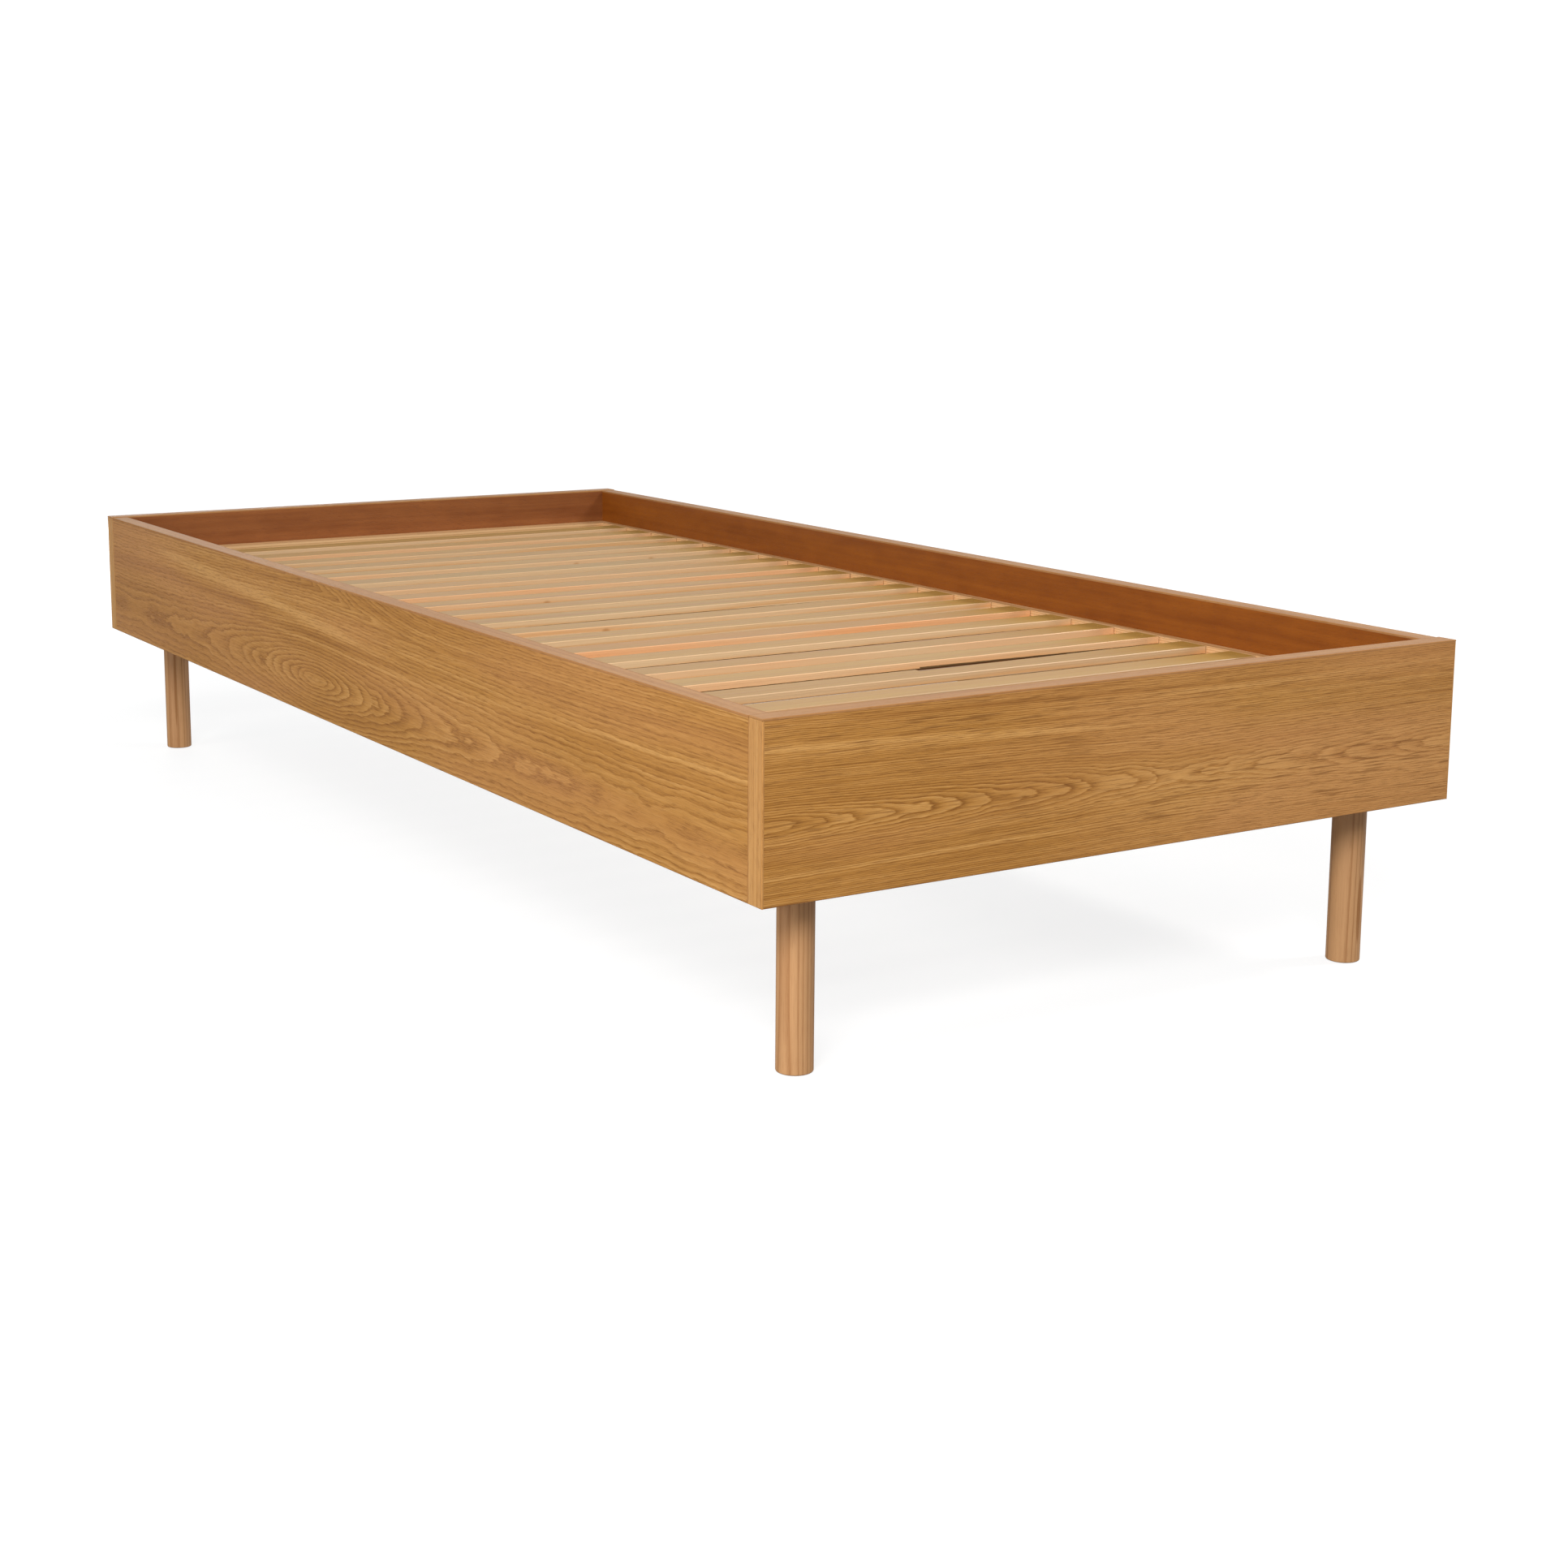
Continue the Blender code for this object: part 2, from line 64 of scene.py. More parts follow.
# name: (place, aim, width, height, watts, colour)
LIGHTS = {
    "key_front": ((-2.5, -3.5, 2.6), (-0.2, -0.6, 0.2), 1.9, 1.4, 160.0, (1.0, 0.98, 0.95)),
    "low_fill": ((-4.6, -0.5, 1.3), (-0.2, 0.0, 0.2), 2.4, 1.4, 66.0, (1.0, 0.99, 0.97)),
    "low_right": ((4.0, 0.3, 0.36), (0.4, 0.0, 0.24), 2.6, 0.3, 36.0, (1.0, 0.98, 0.95)),
    "low_back": ((0.3, 4.4, 0.36), (0.0, 1.0, 0.24), 2.0, 0.3, 36.0, (1.0, 0.98, 0.95)),
    "side_right": ((3.2, -1.9, 3.4), (0.0, 0.0, 0.2), 0.9, 0.9, 88.0, (1.0, 0.97, 0.93)),
}

# ---- Colours (linear); pairs are the dark and the light grain ------------------------------------
OAK_DARK = (0.285, 0.115, 0.019)
OAK_MID = (0.450, 0.211, 0.047)
OAK_LIGHT = (0.600, 0.318, 0.098)
OAK_PORE = (0.190, 0.072, 0.014)
OAK_BLUSH = (0.580, 0.275, 0.110)
INNER_SIDE = ((0.190, 0.047, 0.0036), (0.315, 0.092, 0.0080))
# The end panels' inner veneer is a greyer, bluer copy of the sides': painted sheen from the front lamps
INNER_END_PAINTED_SHEEN = ((0.184, 0.056, 0.0155), (0.304, 0.108, 0.0310))
LIPPING_TOP = ((0.345, 0.152, 0.048), (0.490, 0.250, 0.088))
LIPPING_END = ((0.460, 0.218, 0.061), (0.630, 0.342, 0.118))
CORE_COLOUR = (0.360, 0.235, 0.125)
GLUE_COLOUR = (0.290, 0.150, 0.065)
PINE_CREAM = (0.486, 0.312, 0.092)
PINE_LINE = (0.385, 0.165, 0.028)
PINE_FLUSH = (0.600, 0.225, 0.060)
# The slats' front faces: a paler copy of the tops' pine colours, painted lighter as painted light
PAINTED_LIGHT_FRONT = (0.800, 0.600, 0.360)
PAINTED_LIGHT_FRONT_FLUSH = (0.900, 0.380, 0.150)
PAINTED_LIGHT_FRONT_LINE = (0.640, 0.300, 0.080)
PINE_LEDGE = (0.800, 0.520, 0.270)
# Painted reflection and shade of the side panels' red inner faces, on the slat tops near their ends
PAINTED_OCHRE_REFLECTION = (0.450, 0.260, 0.038)
PINE_KNOT = (0.400, 0.150, 0.030)
# Near-black painted shade: dark strips and torn fibre standing in for the shaded gap below the slats
PAINTED_GAP_SHADE = (0.100, 0.048, 0.007)
LEG_DARK = (0.330, 0.140, 0.045)
LEG_LIGHT = (0.610, 0.340, 0.158)
LEG_STREAK = (0.300, 0.120, 0.030)
BLOCK_DARK = (0.400, 0.220, 0.080)
BLOCK_LIGHT = (0.560, 0.350, 0.160)
ZINC_DARK = (0.46, 0.48, 0.50)
ZINC_LIGHT = (0.66, 0.66, 0.64)

# ---- Surfaces ------------------------------------------------------------------------------------
# How high each surface's own unevenness is, in metres, and how strongly it reflects
SURFACES = {
    "veneer": (0.00012, 0.22),
    "lipping": (0.00010, 0.40),
    "slat": (0.00015, 0.50),
    "rail": (0.00015, 0.45),
    "leg": (0.00012, 0.40),
    "block": (0.00020, 0.50),
    "glue": (0.00005, 0.50),
    "zinc": (0.00005, 0.50),
    "floor": (0.0, 0.10),
}
FACE_SKIN = 0.0007  # a place this near to a board's face counts as lying on it

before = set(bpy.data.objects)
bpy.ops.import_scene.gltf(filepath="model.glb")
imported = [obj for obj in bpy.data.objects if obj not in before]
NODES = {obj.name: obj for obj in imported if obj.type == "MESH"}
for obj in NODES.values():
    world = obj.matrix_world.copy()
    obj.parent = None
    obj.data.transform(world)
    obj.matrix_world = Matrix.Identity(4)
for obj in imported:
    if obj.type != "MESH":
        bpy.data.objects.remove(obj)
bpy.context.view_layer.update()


# ---- Material graphs -----------------------------------------------------------------------------
class Graph:
    """Short-hand for building one material's nodes. A value may be a number or a socket."""

    def __init__(self, name):
        self.material = bpy.data.materials.new(name)
        self.material.use_nodes = True
        self.tree = self.material.node_tree
        self.tree.nodes.clear()
        self.shader = self.tree.nodes.new("ShaderNodeBsdfPrincipled")
        output = self.tree.nodes.new("ShaderNodeOutputMaterial")
        self.tree.links.new(self.shader.outputs["BSDF"], output.inputs["Surface"])
        coordinates = self.tree.nodes.new("ShaderNodeTexCoord")
        split = self.tree.nodes.new("ShaderNodeSeparateXYZ")
        self.tree.links.new(coordinates.outputs["Object"], split.inputs[0])
        self.x, self.y, self.z = split.outputs

    def feed(self, socket, value):
        if isinstance(value, bpy.types.NodeSocket):
            self.tree.links.new(value, socket)
        elif isinstance(value, tuple) and len(value) == 3 and socket.type == "RGBA":
            socket.default_value = (*value, 1.0)
        else:
            socket.default_value = value

    def math(self, operation, *values):
        node = self.tree.nodes.new("ShaderNodeMath")
        node.operation = operation
        for socket, value in zip(node.inputs, values):
            self.feed(socket, value)
        return node.outputs[0]

    def add(self, *values):
        total = values[0]
        for value in values[1:]:
            total = self.math("ADD", total, value)
        return total

    def times(self, a, b):
        return self.math("MULTIPLY", a, b)

    def minus(self, a, b):
        return self.math("SUBTRACT", a, b)

    def length(self, *values):
        squares = [self.times(value, value) for value in values]
        return self.math("SQRT", self.add(*squares))

    def vector(self, x, y, z=0.0):
        node = self.tree.nodes.new("ShaderNodeCombineXYZ")
        for socket, value in zip(node.inputs, (x, y, z)):
            self.feed(socket, value)
        return node.outputs[0]

    def noise(self, *coordinates, detail=2.0, roughness=0.5):
        """Soft noise from 0 to 1. A coordinate is a number or a (place, blotches per unit) pair."""
        node = self.tree.nodes.new("ShaderNodeTexNoise")
        node.inputs["Scale"].default_value = 1.0
        node.inputs["Detail"].default_value = detail
        node.inputs["Roughness"].default_value = roughness
        scaled = [self.times(*item) if isinstance(item, tuple) else item for item in coordinates]
        self.tree.links.new(self.vector(*scaled), node.inputs["Vector"])
        return node.outputs["Fac"]

    def swing(self, amount, *coordinates, **options):
        """Noise about zero, reaching about plus and minus half the amount."""
        return self.times(self.minus(self.noise(*coordinates, **options), 0.5), amount)

    def ramp(self, factor, *stops):
        """A value that passes through (place, value) stops in turn."""
        node = self.tree.nodes.new("ShaderNodeValToRGB")
        elements = node.color_ramp.elements
        while len(elements) < len(stops):
            elements.new(1.0)
        for element, (place, value) in zip(elements, stops):
            element.position = place
            element.color = (value, value, value, 1.0)
        self.feed(node.inputs[0], factor)
        return node.outputs[0]

    def mix(self, factor, a, b):
        """From a to b as the factor goes from 0 to 1, through the node's colour sockets."""
        node = self.tree.nodes.new("ShaderNodeMix")
        node.data_type = "RGBA"
        self.feed(node.inputs[0], factor)
        self.feed(node.inputs[6], a)
        self.feed(node.inputs[7], b)
        return node.outputs[2]

    def above(self, value, limit):
        return self.math("GREATER_THAN", value, limit)

    def bump(self, height, relief):
        node = self.tree.nodes.new("ShaderNodeBump")
        node.inputs["Distance"].default_value = relief
        self.feed(node.inputs["Height"], height)
        self.tree.links.new(node.outputs[0], self.shader.inputs["Normal"])

    def finish(self, surface, colour, roughness, height=None, metallic=0.0):
        """Feeds the shader. Height runs from 0 to 1 over the surface's unevenness."""
        relief, sheen = SURFACES[surface]
        self.feed(self.shader.inputs["Base Color"], colour)
        self.feed(self.shader.inputs["Roughness"], roughness)
        self.shader.inputs["Specular IOR Level"].default_value = sheen
        self.shader.inputs["Metallic"].default_value = metallic
        if height is not None:
            self.bump(height, relief)
        return self.material


# ---- Oak veneer ----------------------------------------------------------------------------------
# The figure of each panel's veneer leaf. Places are (along the board, above its lower edge) in metres.
# Growth rings lie like shells round hearts that run along the board, below or above the leaf:
#   at        where a heart comes nearest to the leaf, or lies deepest
#   depth     how far it is from the leaf there
#   taper     how quickly that changes along the board, until "reach" away from the place; a positive
#             taper closes the rings into ovals, a negative one opens them into flames
#   blunt     how round the tips of the ovals or flames are
#   tilt      a change of the depth from one end to the other
#   lean      how steeply the heart's line climbs
# The other values of a leaf:
#   ring      width of a growth ring round each heart
#   wander    size of the slow bends of the rings, "shake" of their short waves and "ragged" of the
#             fine teeth along them
#   contrast  of the rings, and "dashes" of the short dark pores
#   streaks   (start, end, half height, strength), paler above zero and darker below it
#   pinker    the leaf turns pinker from the first of these places along the board to the second
FIGURES = {
    "end_panel_foot": dict(
        seed=3.1,
        hearts=[
            dict(
                at=(0.047, 0.0765),
                depth=0.038,
                blunt=0.0008,
                taper=-0.040,
                tilt=-0.010,
                reach=0.9,
                lean=-0.011,
            ),
        ],
        ring=(0.0019,),
        wander=0.008,
        shake=0.0042,
        ragged=0.0009,
        contrast=1.40,
        dashes=0.65,
        streaks=[
            ((-0.60, 0.165), (0.02, 0.136), 0.0036, 0.40),
            ((-0.60, 0.028), (-0.05, 0.033), 0.0020, 0.40),
            ((0.00, 0.166), (0.60, 0.170), 0.0022, 0.32),
            ((-0.40, 0.179), (0.30, 0.172), 0.0030, -0.20),
            ((-0.10, 0.095), (0.85, 0.095), 0.1500, 0.17),
        ],
        pinker=(-0.25, 0.42),
    ),
    "side_panel_left": dict(
        seed=11.7,
        hearts=[
            dict(at=(0.115, 0.051), depth=0.0, blunt=0.006, taper=0.180, tilt=0.0, reach=0.32, lean=0.0),
            dict(at=(-0.32, 0.236), depth=0.0, blunt=0.012, taper=0.150, tilt=-0.095, reach=0.60, lean=0.0),
        ],
        ring=(0.0046, 0.0038),
        wander=0.010,
        shake=0.0080,
        ragged=0.0019,
        contrast=0.95,
        dashes=0.22,
        streaks=[
            ((0.80, 0.163), (-0.06, 0.123), 0.0065, 0.55),
            ((0.52, 0.107), (-0.50, 0.094), 0.0022, 0.28),
            ((0.00, 0.098), (-1.15, 0.128), 0.0045, 0.20),
            ((1.15, 0.137), (0.25, 0.120), 0.0090, -0.24),
            ((0.25, 0.113), (-0.30, 0.109), 0.0050, -0.20),
        ],
        pinker=(-0.20, 1.00),
    ),
    "end_panel_head": dict(
        seed=23.4,
        hearts=[
            dict(
                at=(-0.15, 0.100),
                depth=0.056,
                blunt=0.0008,
                taper=-0.036,
                tilt=-0.008,
                reach=0.8,
                lean=0.012,
            ),
        ],
        ring=(0.0035,),
        wander=0.006,
        shake=0.0055,
        ragged=0.0012,
        contrast=0.90,
        dashes=0.45,
        streaks=[
            ((-0.40, 0.150), (0.40, 0.162), 0.0040, 0.20),
            ((-0.30, 0.030), (0.50, 0.026), 0.0030, -0.15),
        ],
        pinker=(-0.60, 0.60),
    ),
    "side_panel_right": dict(
        seed=37.9,
        hearts=[
            dict(at=(-0.55, 0.110), depth=0.0, blunt=0.008, taper=0.120, tilt=0.0, reach=0.50, lean=0.0),
            dict(at=(0.62, -0.030), depth=0.0, blunt=0.015, taper=0.130, tilt=0.05, reach=0.45, lean=0.0),
        ],
        ring=(0.0042, 0.0034),
        wander=0.010,
        shake=0.0070,
        ragged=0.0018,
        contrast=0.80,
        dashes=0.22,
        streaks=[
            ((-1.00, 0.060), (0.10, 0.075), 0.0050, 0.20),
            ((0.10, 0.150), (1.00, 0.130), 0.0040, -0.14),
        ],
        pinker=(-1.00, 1.20),
    ),
}
SMOOTH_JOIN = 3.0  # how softly, in rings, the shells of two hearts merge
STREAK_FADE = 0.12  # metres over which a streak dies out at its ends
STREAK_WAVE = 0.006  # how far the streaks swing up and down
RING_UNEVENNESS = 1.8  # how many rings their spacing runs ahead or behind
RING_MEAN = 0.62  # tone of a ring on average
# Shares of the rings, the fibre, the bands and the clouds in the tone of the oak, and what centres it
RING_SHARE, FIBRE_SHARE, BAND_SHARE, CLOUD_SHARE = 0.74, 0.60, 0.60, 0.25
TONE_OFFSET = -0.23
DECADE_SWING = 0.60  # how much some groups of rings are darker or paler than others
PINKER_SHARE, BLUSH_OFFSET = 0.30, -0.15  # what the pinker end adds to the blush, and what centres it


def ring_count(g, along, up, figure):
    """How many growth rings lie between the heart of the tree and each place on the leaf."""
    ragged = figure["ragged"]
    seed = figure["seed"]
    drift = g.swing(figure["wander"], (along, 1.7), (up, 6.0), seed, detail=1.0)
    shake = g.swing(figure["shake"], (along, 15.0), (up, 6.0), seed + 2.0)
    tongues = g.swing(ragged * 1.3, (along, 36.0), (up, 330.0), seed + 5.0, detail=3.0)
    waves = g.swing(ragged * 1.5, (along, 24.0), (up, 90.0), seed + 6.0)
    count = None
    for heart, ring in zip(figure["hearts"], figure["ring"]):
        offset = g.minus(along, heart["at"][0])
        level = g.add(g.minus(up, heart["at"][1]), g.times(offset, -heart["lean"]), drift)
        spread = g.times(g.math("TANH", g.times(offset, 1.0 / heart["reach"])), heart["reach"])
        slant = g.times(g.length(spread, heart["blunt"] / abs(heart["taper"])), heart["taper"])
        below = g.add(slant, g.times(spread, -heart["tilt"]), heart["depth"], shake)
        rings = g.times(g.add(g.length(level, below), tongues, waves), 1.0 / ring)
        count = rings if count is None else g.math("SMOOTH_MIN", count, rings, SMOOTH_JOIN)
    return count


def streaks(g, along, up, figure):
    """Paler (above zero) and darker (below zero) streaks that run with the grain."""
    total = 0.0
    wave = g.swing(STREAK_WAVE, (along, 3.1), 0.0, figure["seed"] + 30.0)
    for (start, start_up), (end, end_up), half_height, strength in figure["streaks"]:
        slope = (end_up - start_up) / (end - start)
        off = g.minus(g.add(up, wave), g.add(g.times(g.minus(along, start), slope), start_up))
        across = g.math("EXPONENT", g.times(g.times(off, off), -1.0 / half_height**2))
        middle, reach = (start + end) / 2, abs(end - start) / 2
        past = g.minus(g.math("ABSOLUTE", g.minus(along, middle)), reach - STREAK_FADE)
        fade = g.ramp(g.times(past, 1.0 / STREAK_FADE), (0.0, 1.0), (1.0, 0.0))
        total = g.add(total, g.times(g.times(across, fade), strength))
    return total


def oak_leaf(g, along, up, figure):
    """Colour, roughness and surface height of a flat-cut oak leaf with open pores."""
    seed = figure["seed"]
    count = ring_count(g, along, up, figure)
    count = g.add(count, g.swing(RING_UNEVENNESS, (count, 0.30), seed, detail=1.0))
    phase = g.math("FRACT", count)  # from 0 in the dark early wood of a year to 1 in its pale late wood
    year = g.noise((g.math("FLOOR", count), 3.7), seed + 8.0, detail=0.0)
    strength = g.times(g.ramp(year, (0.30, 0.30), (0.70, 1.0)), figure["contrast"])
    late = g.ramp(phase, (0.0, 0.0), (0.08, 0.22), (0.28, 0.56), (0.60, 0.78), (0.88, 1.0), (1.0, 0.0))
    decade = g.swing(DECADE_SWING, (count, 0.45), (along, 1.2), seed + 21.0, detail=1.0)

    pores = g.noise((along, 60.0), (up, 1300.0), seed, roughness=0.6)
    early = g.ramp(phase, (0.0, 1.0), (0.30, 0.65), (0.6, 0.25), (1.0, 0.7))
    pore = g.times(g.ramp(pores, (0.48, 0.0), (0.62, 1.0)), early)
    fibre = g.noise((along, 7.0), (up, 330.0), seed + 9.0, detail=3.0, roughness=0.65)
    band = g.noise((along, 0.8), (up, 34.0), seed + 12.0)
    cloud = g.noise((along, 1.4), (up, 9.0), seed + 14.0, detail=1.0)

    tone = g.times(g.times(g.minus(late, RING_MEAN), strength), RING_SHARE)
    for layer, share in ((fibre, FIBRE_SHARE), (band, BAND_SHARE), (cloud, CLOUD_SHARE)):
        tone = g.add(tone, g.times(layer, share))
    tone = g.add(tone, decade, streaks(g, along, up, figure), TONE_OFFSET)
    colour = g.mix(g.ramp(tone, (0.10, 0.0), (0.50, 1.0)), OAK_DARK, OAK_MID)
    colour = g.mix(g.ramp(tone, (0.50, 0.0), (0.95, 1.0)), colour, OAK_LIGHT)
    blush = g.noise((along, 2.2), (up, 12.0), seed + 17.0, detail=1.0)
    start, end = figure["pinker"]
    gradient = g.times(g.minus(along, start), 1.0 / (end - start))
    blush = g.add(blush, g.ramp(gradient, (0.0, 0.0), (1.0, PINKER_SHARE)), BLUSH_OFFSET)
    colour = g.mix(g.ramp(blush, (0.35, 0.0), (0.70, 0.70)), colour, g.mix(0.6, colour, OAK_BLUSH))
    colour = g.mix(g.times(pore, 0.60), colour, OAK_PORE)
    roughness = g.add(g.times(pore, 0.16), g.times(fibre, 0.10), 0.40)
    dashes = g.noise((along, 16.0), (up, 480.0), seed + 19.0, detail=1.0)
    dash = g.times(g.ramp(dashes, (0.55, 0.0), (0.67, 1.0)), g.ramp(band, (0.35, 0.3), (0.6, 1.0)))
    colour = g.mix(g.times(dash, figure["dashes"]), colour, OAK_PORE)
    height = g.add(g.times(pore, -1.0), g.times(fibre, 0.35), g.times(dash, -0.5))
    return colour, roughness, height


def inner_leaf(g, along, up, seed, dark, light):
    """The plainer, redder veneer on the inside of the panels."""
    streak = g.noise((along, 3.0), (up, 90.0), seed, detail=3.0)
    mottle = g.noise((along, 22.0), (up, 40.0), seed + 3.0)
    pores = g.noise((along, 90.0), (up, 1100.0), seed + 6.0, detail=1.0)
    pore = g.ramp(pores, (0.58, 0.0), (0.70, 1.0))
    tone = g.add(g.times(streak, 0.75), g.times(mottle, 0.35), -0.05)
    colour = g.mix(g.ramp(tone, (0.25, 0.0), (0.80, 1.0)), dark, light)
    colour = g.mix(g.times(pore, 0.45), colour, dark)
    roughness = g.add(g.times(streak, 0.12), 0.40)
    return colour, roughness, g.times(pore, -1.0)


def panel_material(name):
    """Figured veneer outside, plain red veneer inside, oak edging below, and core in the drilled holes."""
    g = Graph(f"{name}_veneer")
    low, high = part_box(name)
    axis = 0 if "end_panel" in name else 1
    along, through = (g.x, g.y) if axis == 0 else (g.y, g.x)
    inner, outer = sorted((abs(low[1 - axis]), abs(high[1 - axis])))
    up = g.minus(g.z, low[2])
    figure = FIGURES[name]
    colour, roughness, height = oak_leaf(g, along, up, figure)
    woods = INNER_END_PAINTED_SHEEN if axis == 0 else INNER_SIDE
    inner_colour, inner_roughness, inner_height = inner_leaf(g, along, up, figure["seed"] + 50.0, *woods)
    distance = g.math("ABSOLUTE", through)
    is_inner = g.math("LESS_THAN", distance, inner + FACE_SKIN)
    is_edge = g.math("LESS_THAN", g.z, low[2] + FACE_SKIN)
    is_core = g.times(g.math("LESS_THAN", distance, outer - FACE_SKIN), g.minus(1.0, is_edge))
    chips = g.noise((g.x, 400.0), (g.y, 400.0), (g.z, 400.0), detail=3.0)
    colour = g.mix(is_core, colour, g.mix(chips, CORE_COLOUR, OAK_LIGHT))
    colour = g.mix(is_inner, colour, inner_colour)
    edge_grain = g.noise((along, 12.0), (through, 700.0), (g.z, 60.0))
    colour = g.mix(is_edge, colour, g.mix(edge_grain, OAK_DARK, LIPPING_TOP[0]))
    roughness = g.mix(is_inner, roughness, inner_roughness)
    height = g.mix(is_inner, height, inner_height)
    return g.finish("veneer", colour, roughness, height)


# ---- Solid woods ---------------------------------------------------------------------------------
EDGE_BAND = 0.0013  # how far the dull edges reach in from the corner: worn on the lippings, and on the slats' rear edge also painted darker as painted shade
WOOD_WANDER, LEG_WANDER = 0.004, 0.006  # how far a heart line bends from straight
# Width of a growth ring
SLAT_RING, RAIL_RING, LEG_RING, BLOCK_RING = 0.0045, 0.0038, 0.0036, 0.0050


def solid_wood(g, along, side, up, heart, ring, seed, wander=WOOD_WANDER):
    """Rings about a heart line that runs along the piece. Returns ring phase and fine fibre."""
    bend_side = g.swing(wander, (along, 2.2), seed, detail=1.0)
    bend_up = g.swing(wander, (along, 2.6), seed + 4.0, detail=1.0)
    radius = g.length(g.add(g.minus(side, heart[0]), bend_side), g.add(g.minus(up, heart[1]), bend_up))
    uneven = g.swing(1.4, (radius, 0.35 / ring), seed, detail=1.0)
    phase = g.math("FRACT", g.add(g.times(radius, 1.0 / ring), uneven))
    fibre = g.noise((along, 10.0), (side, 500.0), (up, 500.0), roughness=0.6)
    return phase, fibre


def worn_edge(g, side, low, high):
    """1 on the two long rounded edges of a piece, 0 between them."""
    below = g.math("LESS_THAN", side, low + EDGE_BAND)
    return g.math("MAXIMUM", below, g.above(side, high - EDGE_BAND))


def lipping_material(node, direction):
    """Solid oak strip: straight grain along the strip, a little pink, with dull worn edges."""
    name = f"{node}_wood"
    g = Graph(name)
    low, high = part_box(node)
    along = {"x": g.x, "y": g.y, "z": g.z}[direction]
    axis = 0 if direction == "y" else 1  # the strip's own thickness lies along it
    side = (g.x, g.y)[axis]
    across = g.minus(side, (low[axis] + high[axis]) / 2)
    seed = sum(ord(letter) for letter in name) * 0.37 % 40.0  # every strip has grain of its own
    fine = g.noise((along, 6.0), (across, 520.0), seed, detail=3.0, roughness=0.6)
    broad = g.noise((along, 2.0), (across, 120.0), seed + 7.0, detail=1.0)
    pores = g.noise((along, 70.0), (across, 1300.0), seed + 3.0, detail=1.0)
    pore = g.ramp(pores, (0.56, 0.0), (0.68, 1.0))
    tone = g.add(g.times(fine, 0.6), g.times(broad, 0.5), -0.05)
    dark, light = LIPPING_END if direction == "z" else LIPPING_TOP
    colour = g.mix(g.ramp(tone, (0.32, 0.0), (0.66, 1.0)), dark, light)
    colour = g.mix(g.times(pore, 0.5), colour, OAK_DARK)
    edge = worn_edge(g, side, low[axis], high[axis])
    colour = g.mix(g.times(edge, 0.5), colour, dark)
    roughness = g.add(g.times(fine, 0.12), g.times(edge, 0.45), 0.42)
    return g.finish("lipping", colour, roughness, g.times(pore, -1.0))


# ---- Pine slats and rails ------------------------------------------------------------------------
# How far each slat's front face is flushed with orange; the others are PLAIN_FLUSH
SLAT_FLUSH = {
    5: 0.55,
    6: 0.60,
    7: 0.25,
    8: 1.00,
    10: 0.35,
    12: 0.30,
    13: 0.60,
    14: 0.75,
    15: 0.60,
    17: 0.45,
    20: 0.50,
}
PLAIN_FLUSH, RAIL_FLUSH = 0.22, 0.10
TOP_FLUSH_SHARE = 0.4  # of the front face's flush
TOP_TINT, TOP_WARMTH = (0.94, 1.07), (0.94, 1.01)  # how much the slats' tops differ from each other
FRONT_SHADE_FALLOFF = 0.22  # how much darker the front faces are painted towards the head end: painted shade
FRONT_PAINTED_SHADE = {1: 0.6, 2: 0.6, 3: 0.5, 4: 0.78}  # brightness of the front faces that differ from that: painted shadow of the foot end panel
PAINTED_REFLECTION_ENDS = (0.26, 0.42)  # distances from the middle over which the slats' tops are painted ochre: painted reflection and shade of the side panels
HEART_SIDEWAYS, HEART_AWAY = (-0.03, 0.03), (0.015, 0.06)  # where a slat's heart line lies, off its top
FACE_HEART_DEPTH = 0.02  # how far behind the front face its rings are centred
# Knots on the front faces: where they are along the slat, how far they reach from their centres,
# and how far the centres lie in front of the face and below the slat's top
SLAT_KNOTS = {10: [-0.150], 13: [-0.100], 17: [0.140, 0.280]}
KNOT_REACH, KNOT_FORWARD, KNOT_BELOW = 0.005, 0.002, 0.008
KNOT_NARROWING = 0.6  # height of a knot against its length
# Slats whose lower front edge is painted with a dark strip of painted shade, for the shaded gap below the
# slats, and the height of the strip
SHADE_STRIP_SLATS = {5: 0.0010, 7: 0.0009, 11: 0.0012}
SHADE_STRIP_REACH, SHADE_STRIP_RAGGED = 0.0012, 0.0010  # how far it reaches back, and how uneven it is
# The slat that has lost a sliver along its upper rear edge, to the right of its middle
TORN_SLAT = 4
TORN_BELOW_TOP, TORN_WIDTH = 0.00048, 0.0115  # torn fibre starts this deep and this far from the edge
# The painted shade strip on the slat behind it is taller beside the sliver: where that starts,
# over what length it runs out, and by how much
TORN_SHADE_START, TORN_LENGTH, TORN_SHADE = 0.046, 0.30, 0.0018


def pine(g, along, side, up, heart, seed, flush, woods, ring=SLAT_RING):
    """Softwood with narrow dark late rings; flush is how far it has turned orange."""
    pale, dark, orange = woods
    phase, fibre = solid_wood(g, along, side, up, heart, ring, seed)
    late = g.ramp(phase, (0.0, 0.0), (0.55, 0.15), (0.86, 1.0), (0.95, 0.85), (1.0, 0.0))
    patch = g.noise((along, 3.2), (side, 30.0), seed + 8.0)
    glow = g.times(g.ramp(patch, (0.30, 0.25), (0.70, 1.0)), flush)
    colour = g.mix(g.times(late, 0.60), pale, dark)
    colour = g.mix(g.times(glow, 0.85), colour, orange)
    colour = g.mix(g.times(fibre, 0.22), colour, dark)
    roughness = g.add(g.times(fibre, 0.12), g.times(late, -0.05), 0.38)
    height = g.add(g.times(late, 0.6), g.times(fibre, 0.4))
    return colour, roughness, height


def torn_share(g):
    """1 where the taller painted shade strip starts, falling to 0 where it runs out."""
    share = g.ramp(g.times(g.minus(g.x, TORN_SHADE_START), 1.0 / TORN_LENGTH), (0.0, 1.0), (1.0, 0.0))
    return g.times(share, g.above(g.x, TORN_SHADE_START))


